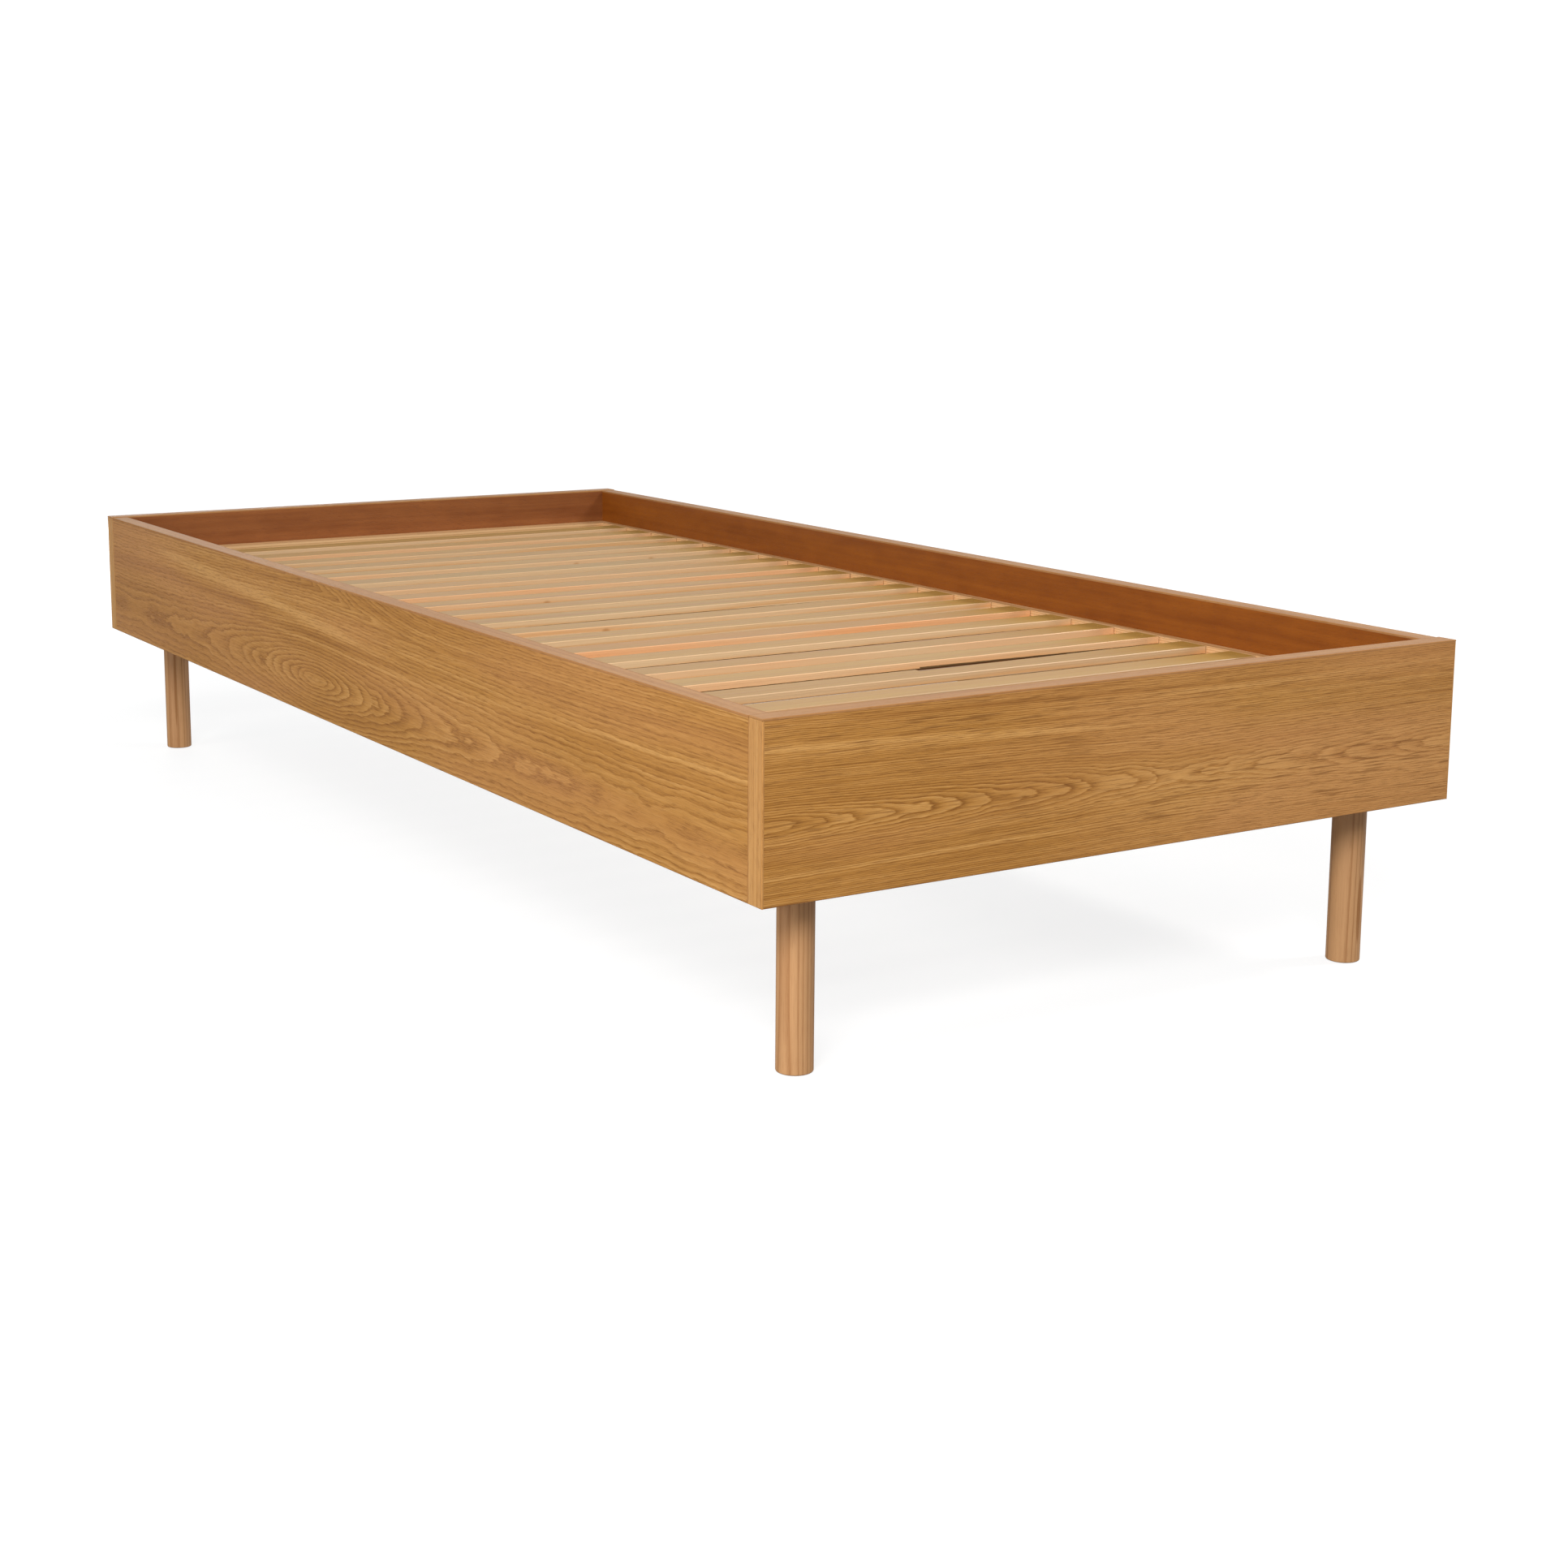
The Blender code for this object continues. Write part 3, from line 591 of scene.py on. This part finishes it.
def slat_material(number):
    """Yellow pine with its own blemishes; its ochre ends, paler front face and dark strips are painted
    light and shade.
    """
    g = Graph(f"slat_{number:02d}_pine")
    low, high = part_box(f"slat_{number:02d}")
    middle = (low[1] + high[1]) / 2
    draw = random.Random(number)
    heart_side = middle + draw.uniform(*HEART_SIDEWAYS)
    heart = (heart_side, high[2] + draw.choice((-1, 1)) * draw.uniform(*HEART_AWAY))
    flush = SLAT_FLUSH.get(number, PLAIN_FLUSH)
    seed = draw.uniform(0, 50)
    tint, warmth = draw.uniform(*TOP_TINT), draw.uniform(*TOP_WARMTH)
    pale = (PINE_CREAM[0] * tint, PINE_CREAM[1] * tint * warmth, PINE_CREAM[2] * tint * warmth)
    woods = (pale, PINE_LINE, PINE_FLUSH)
    colour, roughness, height = pine(g, g.x, g.y, g.z, heart, seed, flush * TOP_FLUSH_SHARE, woods)
    # The rear edge is rougher, as if worn, and painted darker as painted shade along the gap behind the
    # slat
    edge = g.above(g.y, high[1] - EDGE_BAND)
    colour = g.mix(g.times(edge, 0.6), colour, PINE_LINE)
    roughness = g.add(roughness, g.times(edge, 0.5))
    # Painted reflection and shade: the tops turn ochre towards both ends, where the side panels are
    # mirrored in them and shade them
    start, end = PAINTED_REFLECTION_ENDS
    towards_end = g.times(g.minus(g.math("ABSOLUTE", g.x), start), 1.0 / (end - start))
    painted_reflection = g.add(towards_end, g.swing(0.5, (g.x, 9.0), (g.y, 60.0), seed + 14.0))
    colour = g.mix(g.ramp(painted_reflection, (0.1, 0.0), (1.0, 0.55)), colour, PAINTED_OCHRE_REFLECTION)
    # Painted light: the front face is a paler copy of the top's pine, painted darker near the foot end and
    # towards the head as painted shade
    front_shade = FRONT_PAINTED_SHADE.get(number, 1.0 - FRONT_SHADE_FALLOFF * number / len(SLAT_NUMBERS))
    front = tuple(channel * front_shade for channel in PAINTED_LIGHT_FRONT)
    woods = (front, PAINTED_LIGHT_FRONT_LINE, PAINTED_LIGHT_FRONT_FLUSH)
    face_heart = (high[2], low[1] + FACE_HEART_DEPTH)
    face_colour = pine(g, g.x, g.z, g.y, face_heart, seed + 3.0, flush, woods)[0]
    face = g.math("LESS_THAN", g.y, low[1] + FACE_SKIN)
    colour = g.mix(face, colour, face_colour)
    for knot_x in SLAT_KNOTS.get(number, []):
        offset = g.times(g.minus(g.x, knot_x), KNOT_NARROWING)
        forward, below = g.minus(g.y, low[1] - KNOT_FORWARD), g.minus(g.z, high[2] - KNOT_BELOW)
        reach = g.length(offset, forward, below)
        knot = g.ramp(g.times(reach, 1.0 / KNOT_REACH), (0.25, 1.0), (0.55, 0.7), (1.0, 0.0))
        colour = g.mix(g.times(knot, 0.75), colour, PINE_KNOT)
    # Painted shade: a dark strip along the lower front edge, standing in for the shaded gap below the slats
    if number in SHADE_STRIP_SLATS:
        ragged = g.swing(SHADE_STRIP_RAGGED, (g.x, 45.0), number, detail=3.0)
        reach = SHADE_STRIP_SLATS[number]
        if number == TORN_SLAT + 1:
            reach = g.add(reach, g.times(torn_share(g), TORN_SHADE))
        under = g.math("LESS_THAN", g.add(g.z, ragged, -low[2]), reach)
        front = g.math("LESS_THAN", g.y, low[1] + SHADE_STRIP_REACH)
        shade_strip = g.times(g.times(under, front), 0.95)
        colour = g.mix(shade_strip, colour, PAINTED_GAP_SHADE)
        roughness = g.add(roughness, g.times(shade_strip, 0.5))
    # Painted shade: the torn fibre of the sliver is painted near-black, for the shade in and below its
    # recess
    if number == TORN_SLAT:
        torn = g.times(g.math("LESS_THAN", g.z, high[2] - TORN_BELOW_TOP), g.above(g.x, 0.0))
        behind = g.above(g.y, high[1] - TORN_WIDTH)
        fibres = g.noise((g.x, 30.0), (g.y, 900.0))
        colour = g.mix(g.times(torn, behind), colour, g.mix(g.times(fibres, 0.4), PAINTED_GAP_SHADE, PINE_KNOT))
    return g.finish("slat", colour, roughness, height)


RAIL_HEART = (0.02, 0.03)  # how far a rail's heart line lies to the side of it and below it


def rail_material(key):
    """Pale pine, with the grain along the rail."""
    name = f"slat_rail_{key}"
    g = Graph(f"{name}_pine")
    low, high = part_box(name)
    along, side, axis = (g.x, g.y, 1) if key in ENDS else (g.y, g.x, 0)
    heart = ((low[axis] + high[axis]) / 2 + RAIL_HEART[0], low[2] - RAIL_HEART[1])
    woods = (PINE_LEDGE, PINE_LINE, PINE_FLUSH)
    seed = 5.0 + len(name)
    colour, roughness, height = pine(g, along, side, g.z, heart, seed, RAIL_FLUSH, woods, RAIL_RING)
    return g.finish("rail", colour, roughness, height)


# ---- Legs and corner blocks ----------------------------------------------------------------------
# Where a leg's heart line lies, to the right of its centre and behind it
LEG_HEART_SIDE, LEG_HEART_BACK = (0.020, 0.040), (0.010, 0.030)
# Brown mineral streaks: (angle round the leg, height of the middle, half height, half width)
LEG_STREAKS = {
    "foot_right": (math.radians(-82.0), 0.065, 0.046, 0.0040),
    "head_left": (math.radians(-118.0), 0.110, 0.080, 0.0022),
}


def leg_material(corner):
    """Turned oak: pale wood with fine brown lines, and a mineral streak on some legs."""
    g = Graph(f"leg_{corner}_wood")
    low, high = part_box(f"leg_{corner}")
    centre_x, centre_y = (low[0] + high[0]) / 2, (low[1] + high[1]) / 2
    draw = random.Random(corner)
    side, up = g.minus(g.x, centre_x), g.minus(g.y, centre_y)
    heart = (draw.uniform(*LEG_HEART_SIDE), draw.uniform(*LEG_HEART_BACK))
    phase, fibre = solid_wood(g, g.z, side, up, heart, LEG_RING, draw.uniform(0, 40), LEG_WANDER)
    line = g.ramp(phase, (0.0, 1.0), (0.10, 0.7), (0.24, 0.15), (0.75, 0.0), (0.94, 0.25), (1.0, 1.0))
    pores = g.noise((g.z, 50.0), (side, 900.0), (up, 900.0), detail=1.0)
    early = g.ramp(phase, (0.0, 1.0), (0.5, 0.3), (1.0, 0.7))
    pore = g.times(g.ramp(pores, (0.55, 0.0), (0.68, 1.0)), early)
    colour = g.mix(g.times(line, 0.75), LEG_LIGHT, LEG_DARK)
    colour = g.mix(g.times(fibre, 0.35), colour, LEG_DARK)
    colour = g.mix(g.times(pore, 0.35), colour, LEG_DARK)
    if corner in LEG_STREAKS:
        angle, middle, half_height, half_width = LEG_STREAKS[corner]
        radius = (high[0] - low[0]) / 2
        spot_x, spot_y = radius * math.cos(angle), radius * math.sin(angle)
        sideways = g.times(g.length(g.minus(side, spot_x), g.minus(up, spot_y)), 1.0 / half_width)
        lengthways = g.times(g.minus(g.z, middle), 1.0 / half_height)
        streak = g.ramp(g.length(sideways, lengthways), (0.0, 1.0), (0.78, 0.85), (0.98, 0.0))
        colour = g.mix(g.times(streak, 0.85), colour, LEG_STREAK)
    roughness = g.add(g.times(fibre, 0.14), g.times(pore, 0.1), 0.40)
    height = g.add(g.times(pore, -1.0), g.times(fibre, 0.3))
    return g.finish("leg", colour, roughness, height)


BLOCK_HEART = (0.03, 0.02)  # how far a block's heart line lies in front of it and below it


def block_material(corner):
    """Plain pine of the corner blocks, with the grain across the frame."""
    name = f"corner_block_{corner}"
    g = Graph(f"{name}_wood")
    low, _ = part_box(name)
    heart = (low[1] - BLOCK_HEART[0], low[2] - BLOCK_HEART[1])
    phase, fibre = solid_wood(g, g.x, g.y, g.z, heart, BLOCK_RING, 9.0 + len(corner))
    line = g.ramp(phase, (0.0, 0.0), (0.7, 0.2), (0.9, 1.0), (1.0, 0.0))
    colour = g.mix(g.times(g.add(line, fibre), 0.45), BLOCK_LIGHT, BLOCK_DARK)
    return g.finish("block", colour, g.add(g.times(fibre, 0.2), 0.50), fibre)


# ---- Metal, glue and floor -----------------------------------------------------------------------
def zinc_material():
    """Mottled, finely scratched zinc plating."""
    g = Graph("zinc_plate")
    mottle = g.noise((g.x, 260.0), (g.y, 260.0), (g.z, 260.0), detail=3.0)
    scratch = g.noise((g.x, 60.0), (g.y, 1500.0), (g.z, 1500.0))
    colour = g.mix(mottle, ZINC_DARK, ZINC_LIGHT)
    roughness = g.add(g.times(mottle, 0.15), g.times(scratch, 0.12), 0.20)
    return g.finish("zinc", colour, roughness, scratch, metallic=1.0)


def glue_material():
    """Dried glue, browner than the oak on its two sides."""
    g = Graph("glue_line")
    mottle = g.noise((g.x, 300.0), (g.y, 300.0), (g.z, 300.0))
    colour = g.mix(mottle, GLUE_COLOUR, LIPPING_TOP[0])
    return g.finish("glue", colour, g.add(g.times(mottle, 0.2), 0.45), mottle)


def floor_material():
    """A matt grey floor that glows for the camera, more so far away from the object."""
    g = Graph("studio_floor")
    cloud = g.noise((g.x, 0.7), (g.y, 0.7))
    colour = g.mix(cloud, FLOOR_DARK, FLOOR_LIGHT)
    path = g.tree.nodes.new("ShaderNodeLightPath")
    g.feed(g.shader.inputs["Emission Color"], FLOOR_GLOW_COLOUR)
    reach = g.times(g.minus(g.length(g.x, g.y), FLOOR_NEAR), 1.0 / (FLOOR_FAR - FLOOR_NEAR))
    glow = g.add(g.ramp(reach, (0.0, 0.0), (1.0, FLOOR_GLOW_FAR)), FLOOR_GLOW)
    g.feed(g.shader.inputs["Emission Strength"], g.times(path.outputs["Is Camera Ray"], glow))
    return g.finish("floor", colour, FLOOR_ROUGHNESS)


# ---- Meshes --------------------------------------------------------------------------------------
GAP = 0.0003  # clearance between neighbouring solids
WELD = 1e-6  # points nearer to each other than this are one
SMALL_PART_SMOOTH = 40  # degrees
SCREW_STEPS, PIN_STEPS, WASHER_STEPS = 20, 12, 32  # sides of the turned pieces


def piece(name, mesh, material, replaced=None):
    """A visible piece in world coordinates that rides on the one body."""
    obj = bpy.data.objects.new(name, mesh)
    bpy.context.scene.collection.objects.link(obj)
    mesh.materials.clear()
    mesh.materials.append(material)
    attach(obj, "root")
    if replaced:
        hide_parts(replaced)
    return obj


def give(node, material):
    """Sets a CAD node's material, leaving its mesh as it is."""
    obj = NODES[node]
    for slot in obj.material_slots:
        slot.material = material


def mesh_from(name, bm, smooth_angle=None):
    """Turns a bmesh into a mesh, smooth up to the given angle in degrees or flat all over."""
    mesh = bpy.data.meshes.new(name)
    bm.to_mesh(mesh)
    bm.free()
    if smooth_angle is not None:
        mesh.shade_smooth()
        mesh.set_sharp_from_angle(angle=math.radians(smooth_angle))
    return mesh


# How far the middle of a slat hangs below its ends; the others draw theirs from SAG_RANGE
SLAT_SAG = {4: 0.0002, 6: 0.0008, 10: 0.0016}
SAG_RANGE = (0.0, 0.0006)
TWIST_RANGE = (-0.004, 0.004)  # slope of a slat's top across its middle
SLAT_SLICES = 18


def slat_board(number):
    """The CAD slat, sliced along its length and bent by its own small sag and twist."""
    name = f"slat_{number:02d}"
    draw = random.Random(number * 7)
    low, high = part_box(name)
    half = (high[0] - low[0]) / 2
    middle = (low[1] + high[1]) / 2
    sag = SLAT_SAG.get(number, draw.uniform(*SAG_RANGE))
    twist = draw.uniform(*TWIST_RANGE)
    bm = bmesh.new()
    bm.from_mesh(NODES[name].data)
    for step in range(1, SLAT_SLICES):
        cut_x = low[0] + (high[0] - low[0]) * step / SLAT_SLICES
        geometry = bm.verts[:] + bm.edges[:] + bm.faces[:]
        bmesh.ops.bisect_plane(bm, geom=geometry, plane_co=(cut_x, 0, 0), plane_no=(1, 0, 0), dist=WELD)
    for vert in bm.verts:
        bend = 1 - (vert.co.x / half) ** 2
        vert.co.z += bend * (twist * (vert.co.y - middle) - sag)
    return mesh_from(name + "_board", bm)


def add_disc(bm, placement, profile, steps):
    """A small turned solid: a profile of (radius, height) spun about local Z and closed."""
    rings = []
    for radius, height in profile:
        if radius == 0:
            rings.append([bm.verts.new(placement @ Vector((0, 0, height)))])
            continue
        angles = [2 * math.pi * step / steps for step in range(steps)]
        places = [Vector((radius * math.cos(angle), radius * math.sin(angle), height)) for angle in angles]
        rings.append([bm.verts.new(placement @ place) for place in places])
    for upper, lower in zip(rings, rings[1:]):
        for step in range(steps):
            after = (step + 1) % steps
            corners = [upper[step % len(upper)], upper[after % len(upper)]]
            corners += [lower[after % len(lower)], lower[step % len(lower)]]
            unique = list(dict.fromkeys(corners))
            bm.faces.new(unique[::-1])


def facing(direction, position):
    """A placement that turns local Z to the direction."""
    turn = Vector((0, 0, 1)).rotation_difference(Vector(direction)).to_matrix().to_4x4()
    return Matrix.Translation(position) @ turn


PIN_FROM_END = 0.0105
PIN_SINK = 0.0005  # how far a pin's head is driven below the slat's top
# Profiles are (radius, height above the seat)
PIN_PROFILE = [
    (0, 0.00015),
    (0.0008, 0.0001),
    (0.00125, -0.0002),
    (0.00125, -0.0008),
    (0.0007, -0.0010),
    (0.0007, -0.020),
    (0, -0.021),
]


def slat_pins(side_name):
    """The small nails that hold one side's slat ends to the rail."""
    side = SIDES[side_name]
    bm = bmesh.new()
    for number in SLAT_NUMBERS:
        low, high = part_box(f"slat_{number:02d}")
        x = side * (high[0] - PIN_FROM_END)
        place = Matrix.Translation((x, (low[1] + high[1]) / 2, high[2] - PIN_SINK))
        add_disc(bm, place, PIN_PROFILE, PIN_STEPS)
    return mesh_from(f"slat_pins_{side_name}", bm, SMALL_PART_SMOOTH)


SCREW_PROFILE = [
    (0, -0.0012),
    (0.0010, -0.0010),
    (0.0017, 0.0),
    (0.0036, 0.0),
    (0.0038, -0.0003),
    (0.0019, -0.0024),
    (0.0018, -0.0435),
    (0, -0.0445),
]
SCREW_PITCHES = (1.5, 5.5, 9.5)  # distances of the side rails' screws from the middle, in slat pitches
END_SCREW_X = (-0.33, 0.0, 0.33)
SCREW_GRIP = 0.026  # wood between the head and the panel's inner face


def rail_screws(key):
    """Countersunk screws in the counterbores of one slat rail."""
    low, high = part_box(f"slat_rail_{key}")
    slat_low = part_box("slat_11")[0]
    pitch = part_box("slat_12")[0][1] - slat_low[1]
    z = (low[2] + slat_low[2] - GAP) / 2
    bm = bmesh.new()
    if key in SIDES:
        side = SIDES[key]
        face = max(abs(low[0]), abs(high[0])) + GAP - SCREW_GRIP
        for pitches in SCREW_PITCHES:
            for sign in (-1, 1):
                place = (side * face, sign * pitches * pitch, z)
                add_disc(bm, facing((-side, 0, 0), place), SCREW_PROFILE, SCREW_STEPS)
    else:
        end = ENDS[key]
        face = max(abs(low[1]), abs(high[1])) + GAP - SCREW_GRIP
        for x in END_SCREW_X:
            add_disc(bm, facing((0, -end, 0), (x, end * face, z)), SCREW_PROFILE, SCREW_STEPS)
    return mesh_from(f"rail_screws_{key}", bm, SMALL_PART_SMOOTH)


BOLT_HEAD_HEIGHT = 0.0050
WASHER_PLAY = 0.0001  # between the washer and the bolt's head
WASHER_HOLE, WASHER_RADIUS = 0.0046, 0.0100
WASHER_THICKNESS, WASHER_EDGE = 0.0015, 0.0002
WASHER_PROFILE = [
    (WASHER_HOLE, 0.0),
    (WASHER_RADIUS - WASHER_EDGE, 0.0),
    (WASHER_RADIUS, -WASHER_EDGE),
    (WASHER_RADIUS, WASHER_EDGE - WASHER_THICKNESS),
    (WASHER_RADIUS - WASHER_EDGE, -WASHER_THICKNESS),
    (WASHER_HOLE, -WASHER_THICKNESS),
    (WASHER_HOLE, 0.0),
]


def corner_washer(corner):
    """The washer between a corner bolt's head and the seat of its recess."""
    low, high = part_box(f"corner_bolt_{corner}")
    side = SIDES[corner.split("_")[1]]
    seat = min(abs(low[0]), abs(high[0])) + BOLT_HEAD_HEIGHT + WASHER_PLAY
    centre = (side * seat, (low[1] + high[1]) / 2, (low[2] + high[2]) / 2)
    bm = bmesh.new()
    add_disc(bm, facing((-side, 0, 0), centre), WASHER_PROFILE, WASHER_STEPS)
    bmesh.ops.remove_doubles(bm, verts=bm.verts[:], dist=WELD)
    return mesh_from(f"corner_washer_{corner}", bm, SMALL_PART_SMOOTH)


def strip_between(name, low, high):
    """A box from one corner to the opposite one."""
    bm = bmesh.new()
    bmesh.ops.create_cube(bm, size=1.0)
    size = [b - a for a, b in zip(low, high)]
    centre = [(a + b) / 2 for a, b in zip(low, high)]
    bmesh.ops.scale(bm, vec=size, verts=bm.verts)
    bmesh.ops.translate(bm, vec=centre, verts=bm.verts)
    return mesh_from(name, bm)


GLUE_INSET = 0.0001  # how far the glue stays below the surface


def glue_line(panel, lipping):
    """The thin glue line in the joint between a lipping and its panel, just below the surface."""
    (a_low, a_high), (b_low, b_high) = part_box(panel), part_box(lipping)
    low, high = [], []
    for axis in range(3):
        if a_high[axis] < b_low[axis]:
            low.append(a_high[axis])
            high.append(b_low[axis])
        elif b_high[axis] < a_low[axis]:
            low.append(b_high[axis])
            high.append(a_low[axis])
        else:
            low.append(max(a_low[axis], b_low[axis]) + GLUE_INSET)
            high.append(min(a_high[axis], b_high[axis]) - GLUE_INSET)
    return strip_between(f"glue_{lipping}", low, high)


JOINT_DEPTH = 0.003  # how far in the dark of a corner joint reaches


def corner_joint(end, side_name):
    """The dark line of the butt joint between a side panel and an end panel, seen from outside."""
    side_low, side_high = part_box(f"side_panel_{side_name}")
    end_low, end_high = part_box(f"end_panel_{end}")
    side, way = SIDES[side_name], ENDS[end]
    inner_face = min(abs(end_low[1]), abs(end_high[1]))
    faces = sorted((way * inner_face, way * (inner_face - GAP)))
    outer = max(abs(side_low[0]), abs(side_high[0])) - GLUE_INSET
    depths = sorted((side * outer, side * (outer - JOINT_DEPTH)))
    low = (depths[0], faces[0], side_low[2] + GLUE_INSET)
    high = (depths[1], faces[1], side_high[2] - GLUE_INSET)
    return strip_between(f"joint_{end}_{side_name}", low, high)


# ---- Dressing the frame --------------------------------------------------------------------------
def dress_frame():
    """Gives every solid its material and adds the pieces that are only seen."""
    for panel in FIGURES:
        give(panel, panel_material(panel))
    zinc, glue = zinc_material(), glue_material()
    for node in NODES:
        if "lipping" not in node:
            continue
        panel = node.split("_end_lipping")[0].split("_top_lipping")[0]
        top_direction = "x" if "end_panel" in node else "y"
        direction = "z" if "end_lipping" in node else top_direction
        give(node, lipping_material(node, direction))
        piece(f"glue_{node}", glue_line(panel, node), glue)
    for key in (*SIDES, *ENDS):
        give(f"slat_rail_{key}", rail_material(key))
        piece(f"rail_screws_{key}", rail_screws(key), zinc)
    for number in SLAT_NUMBERS:
        name = f"slat_{number:02d}"
        piece(f"{name}_board", slat_board(number), slat_material(number), name)
    for side_name in SIDES:
        piece(f"slat_pins_{side_name}", slat_pins(side_name), zinc)
        for end in ENDS:
            piece(f"joint_{end}_{side_name}", corner_joint(end, side_name), glue)
    for corner in CORNERS:
        give(f"leg_{corner}", leg_material(corner))
        give(f"corner_block_{corner}", block_material(corner))
        for fixing in ("leg_bolt", "leg_insert", "corner_bolt"):
            give(f"{fixing}_{corner}", zinc)
        piece(f"corner_washer_{corner}", corner_washer(corner), zinc)


# ---- Studio --------------------------------------------------------------------------------------
def make_floor():
    """A wide flat floor just below the feet."""
    bm = bmesh.new()
    bmesh.ops.create_grid(bm, x_segments=4, y_segments=4, size=FLOOR_SIZE / 2)
    floor = bpy.data.objects.new("studio_floor", mesh_from("studio_floor", bm))
    floor.location.z = -FLOOR_DROP
    bpy.context.scene.collection.objects.link(floor)
    floor.data.materials.append(floor_material())


def make_sky():
    """White studio surroundings: pure white behind the object, softer as light and in reflections."""
    world = bpy.data.worlds.new("studio")
    bpy.context.scene.world = world
    world.use_nodes = True
    nodes, links = world.node_tree.nodes, world.node_tree.links
    path = nodes.new("ShaderNodeLightPath")
    shader = nodes["Background"]
    shader.inputs["Color"].default_value = (1.0, 1.0, 1.0, 1.0)
    shader.inputs["Strength"].default_value = SKY_STRENGTH
    for ray, strength in (("Is Glossy Ray", SKY_SHEEN), ("Is Camera Ray", SKY_BEHIND)):
        white = nodes.new("ShaderNodeBackground")
        white.inputs["Color"].default_value = (1.0, 1.0, 1.0, 1.0)
        white.inputs["Strength"].default_value = strength
        mix = nodes.new("ShaderNodeMixShader")
        links.new(path.outputs[ray], mix.inputs[0])
        links.new(shader.outputs[0], mix.inputs[1])
        links.new(white.outputs[0], mix.inputs[2])
        shader = mix
    links.new(shader.outputs[0], nodes["World Output"].inputs["Surface"])


def make_lights():
    """Rectangular lamps, each aimed at a point on the frame."""
    for name, (place, aim, width, height, watts, colour) in LIGHTS.items():
        light = bpy.data.lights.new(name, "AREA")
        light.shape = "RECTANGLE"
        light.size, light.size_y = width, height
        light.energy = watts
        light.color = colour
        lamp = bpy.data.objects.new(name, light)
        lamp.location = place
        lamp.rotation_euler = (Vector(aim) - Vector(place)).to_track_quat("-Z", "Y").to_euler()
        bpy.context.scene.collection.objects.link(lamp)


def make_camera():
    """The camera, from its place, turn, dip and roll."""
    camera = bpy.data.cameras.new("camera")
    camera.sensor_width = CAMERA_SENSOR
    camera.lens = CAMERA_LENS
    camera.shift_x, camera.shift_y = CAMERA_SHIFT
    camera.clip_end = CAMERA_REACH
    sin_a, cos_a = math.sin(CAMERA_TURN), math.cos(CAMERA_TURN)
    sin_e, cos_e = math.sin(CAMERA_DIP), math.cos(CAMERA_DIP)
    back = Vector((sin_a * cos_e, -cos_a * cos_e, sin_e))
    right = (-back).cross(Vector((0, 0, 1))).normalized()
    up = right.cross(-back)
    sin_r, cos_r = math.sin(CAMERA_ROLL), math.cos(CAMERA_ROLL)
    axes = Matrix((right * cos_r + up * sin_r, up * cos_r - right * sin_r, back)).transposed()
    obj = bpy.data.objects.new("camera", camera)
    obj.matrix_world = Matrix.Translation(CAMERA_PLACE) @ axes.to_4x4()
    bpy.context.scene.collection.objects.link(obj)
    bpy.context.scene.camera = obj


make_camera()
make_floor()
make_sky()
make_lights()
dress_frame()
bpy.context.scene.view_settings.view_transform = "Standard"
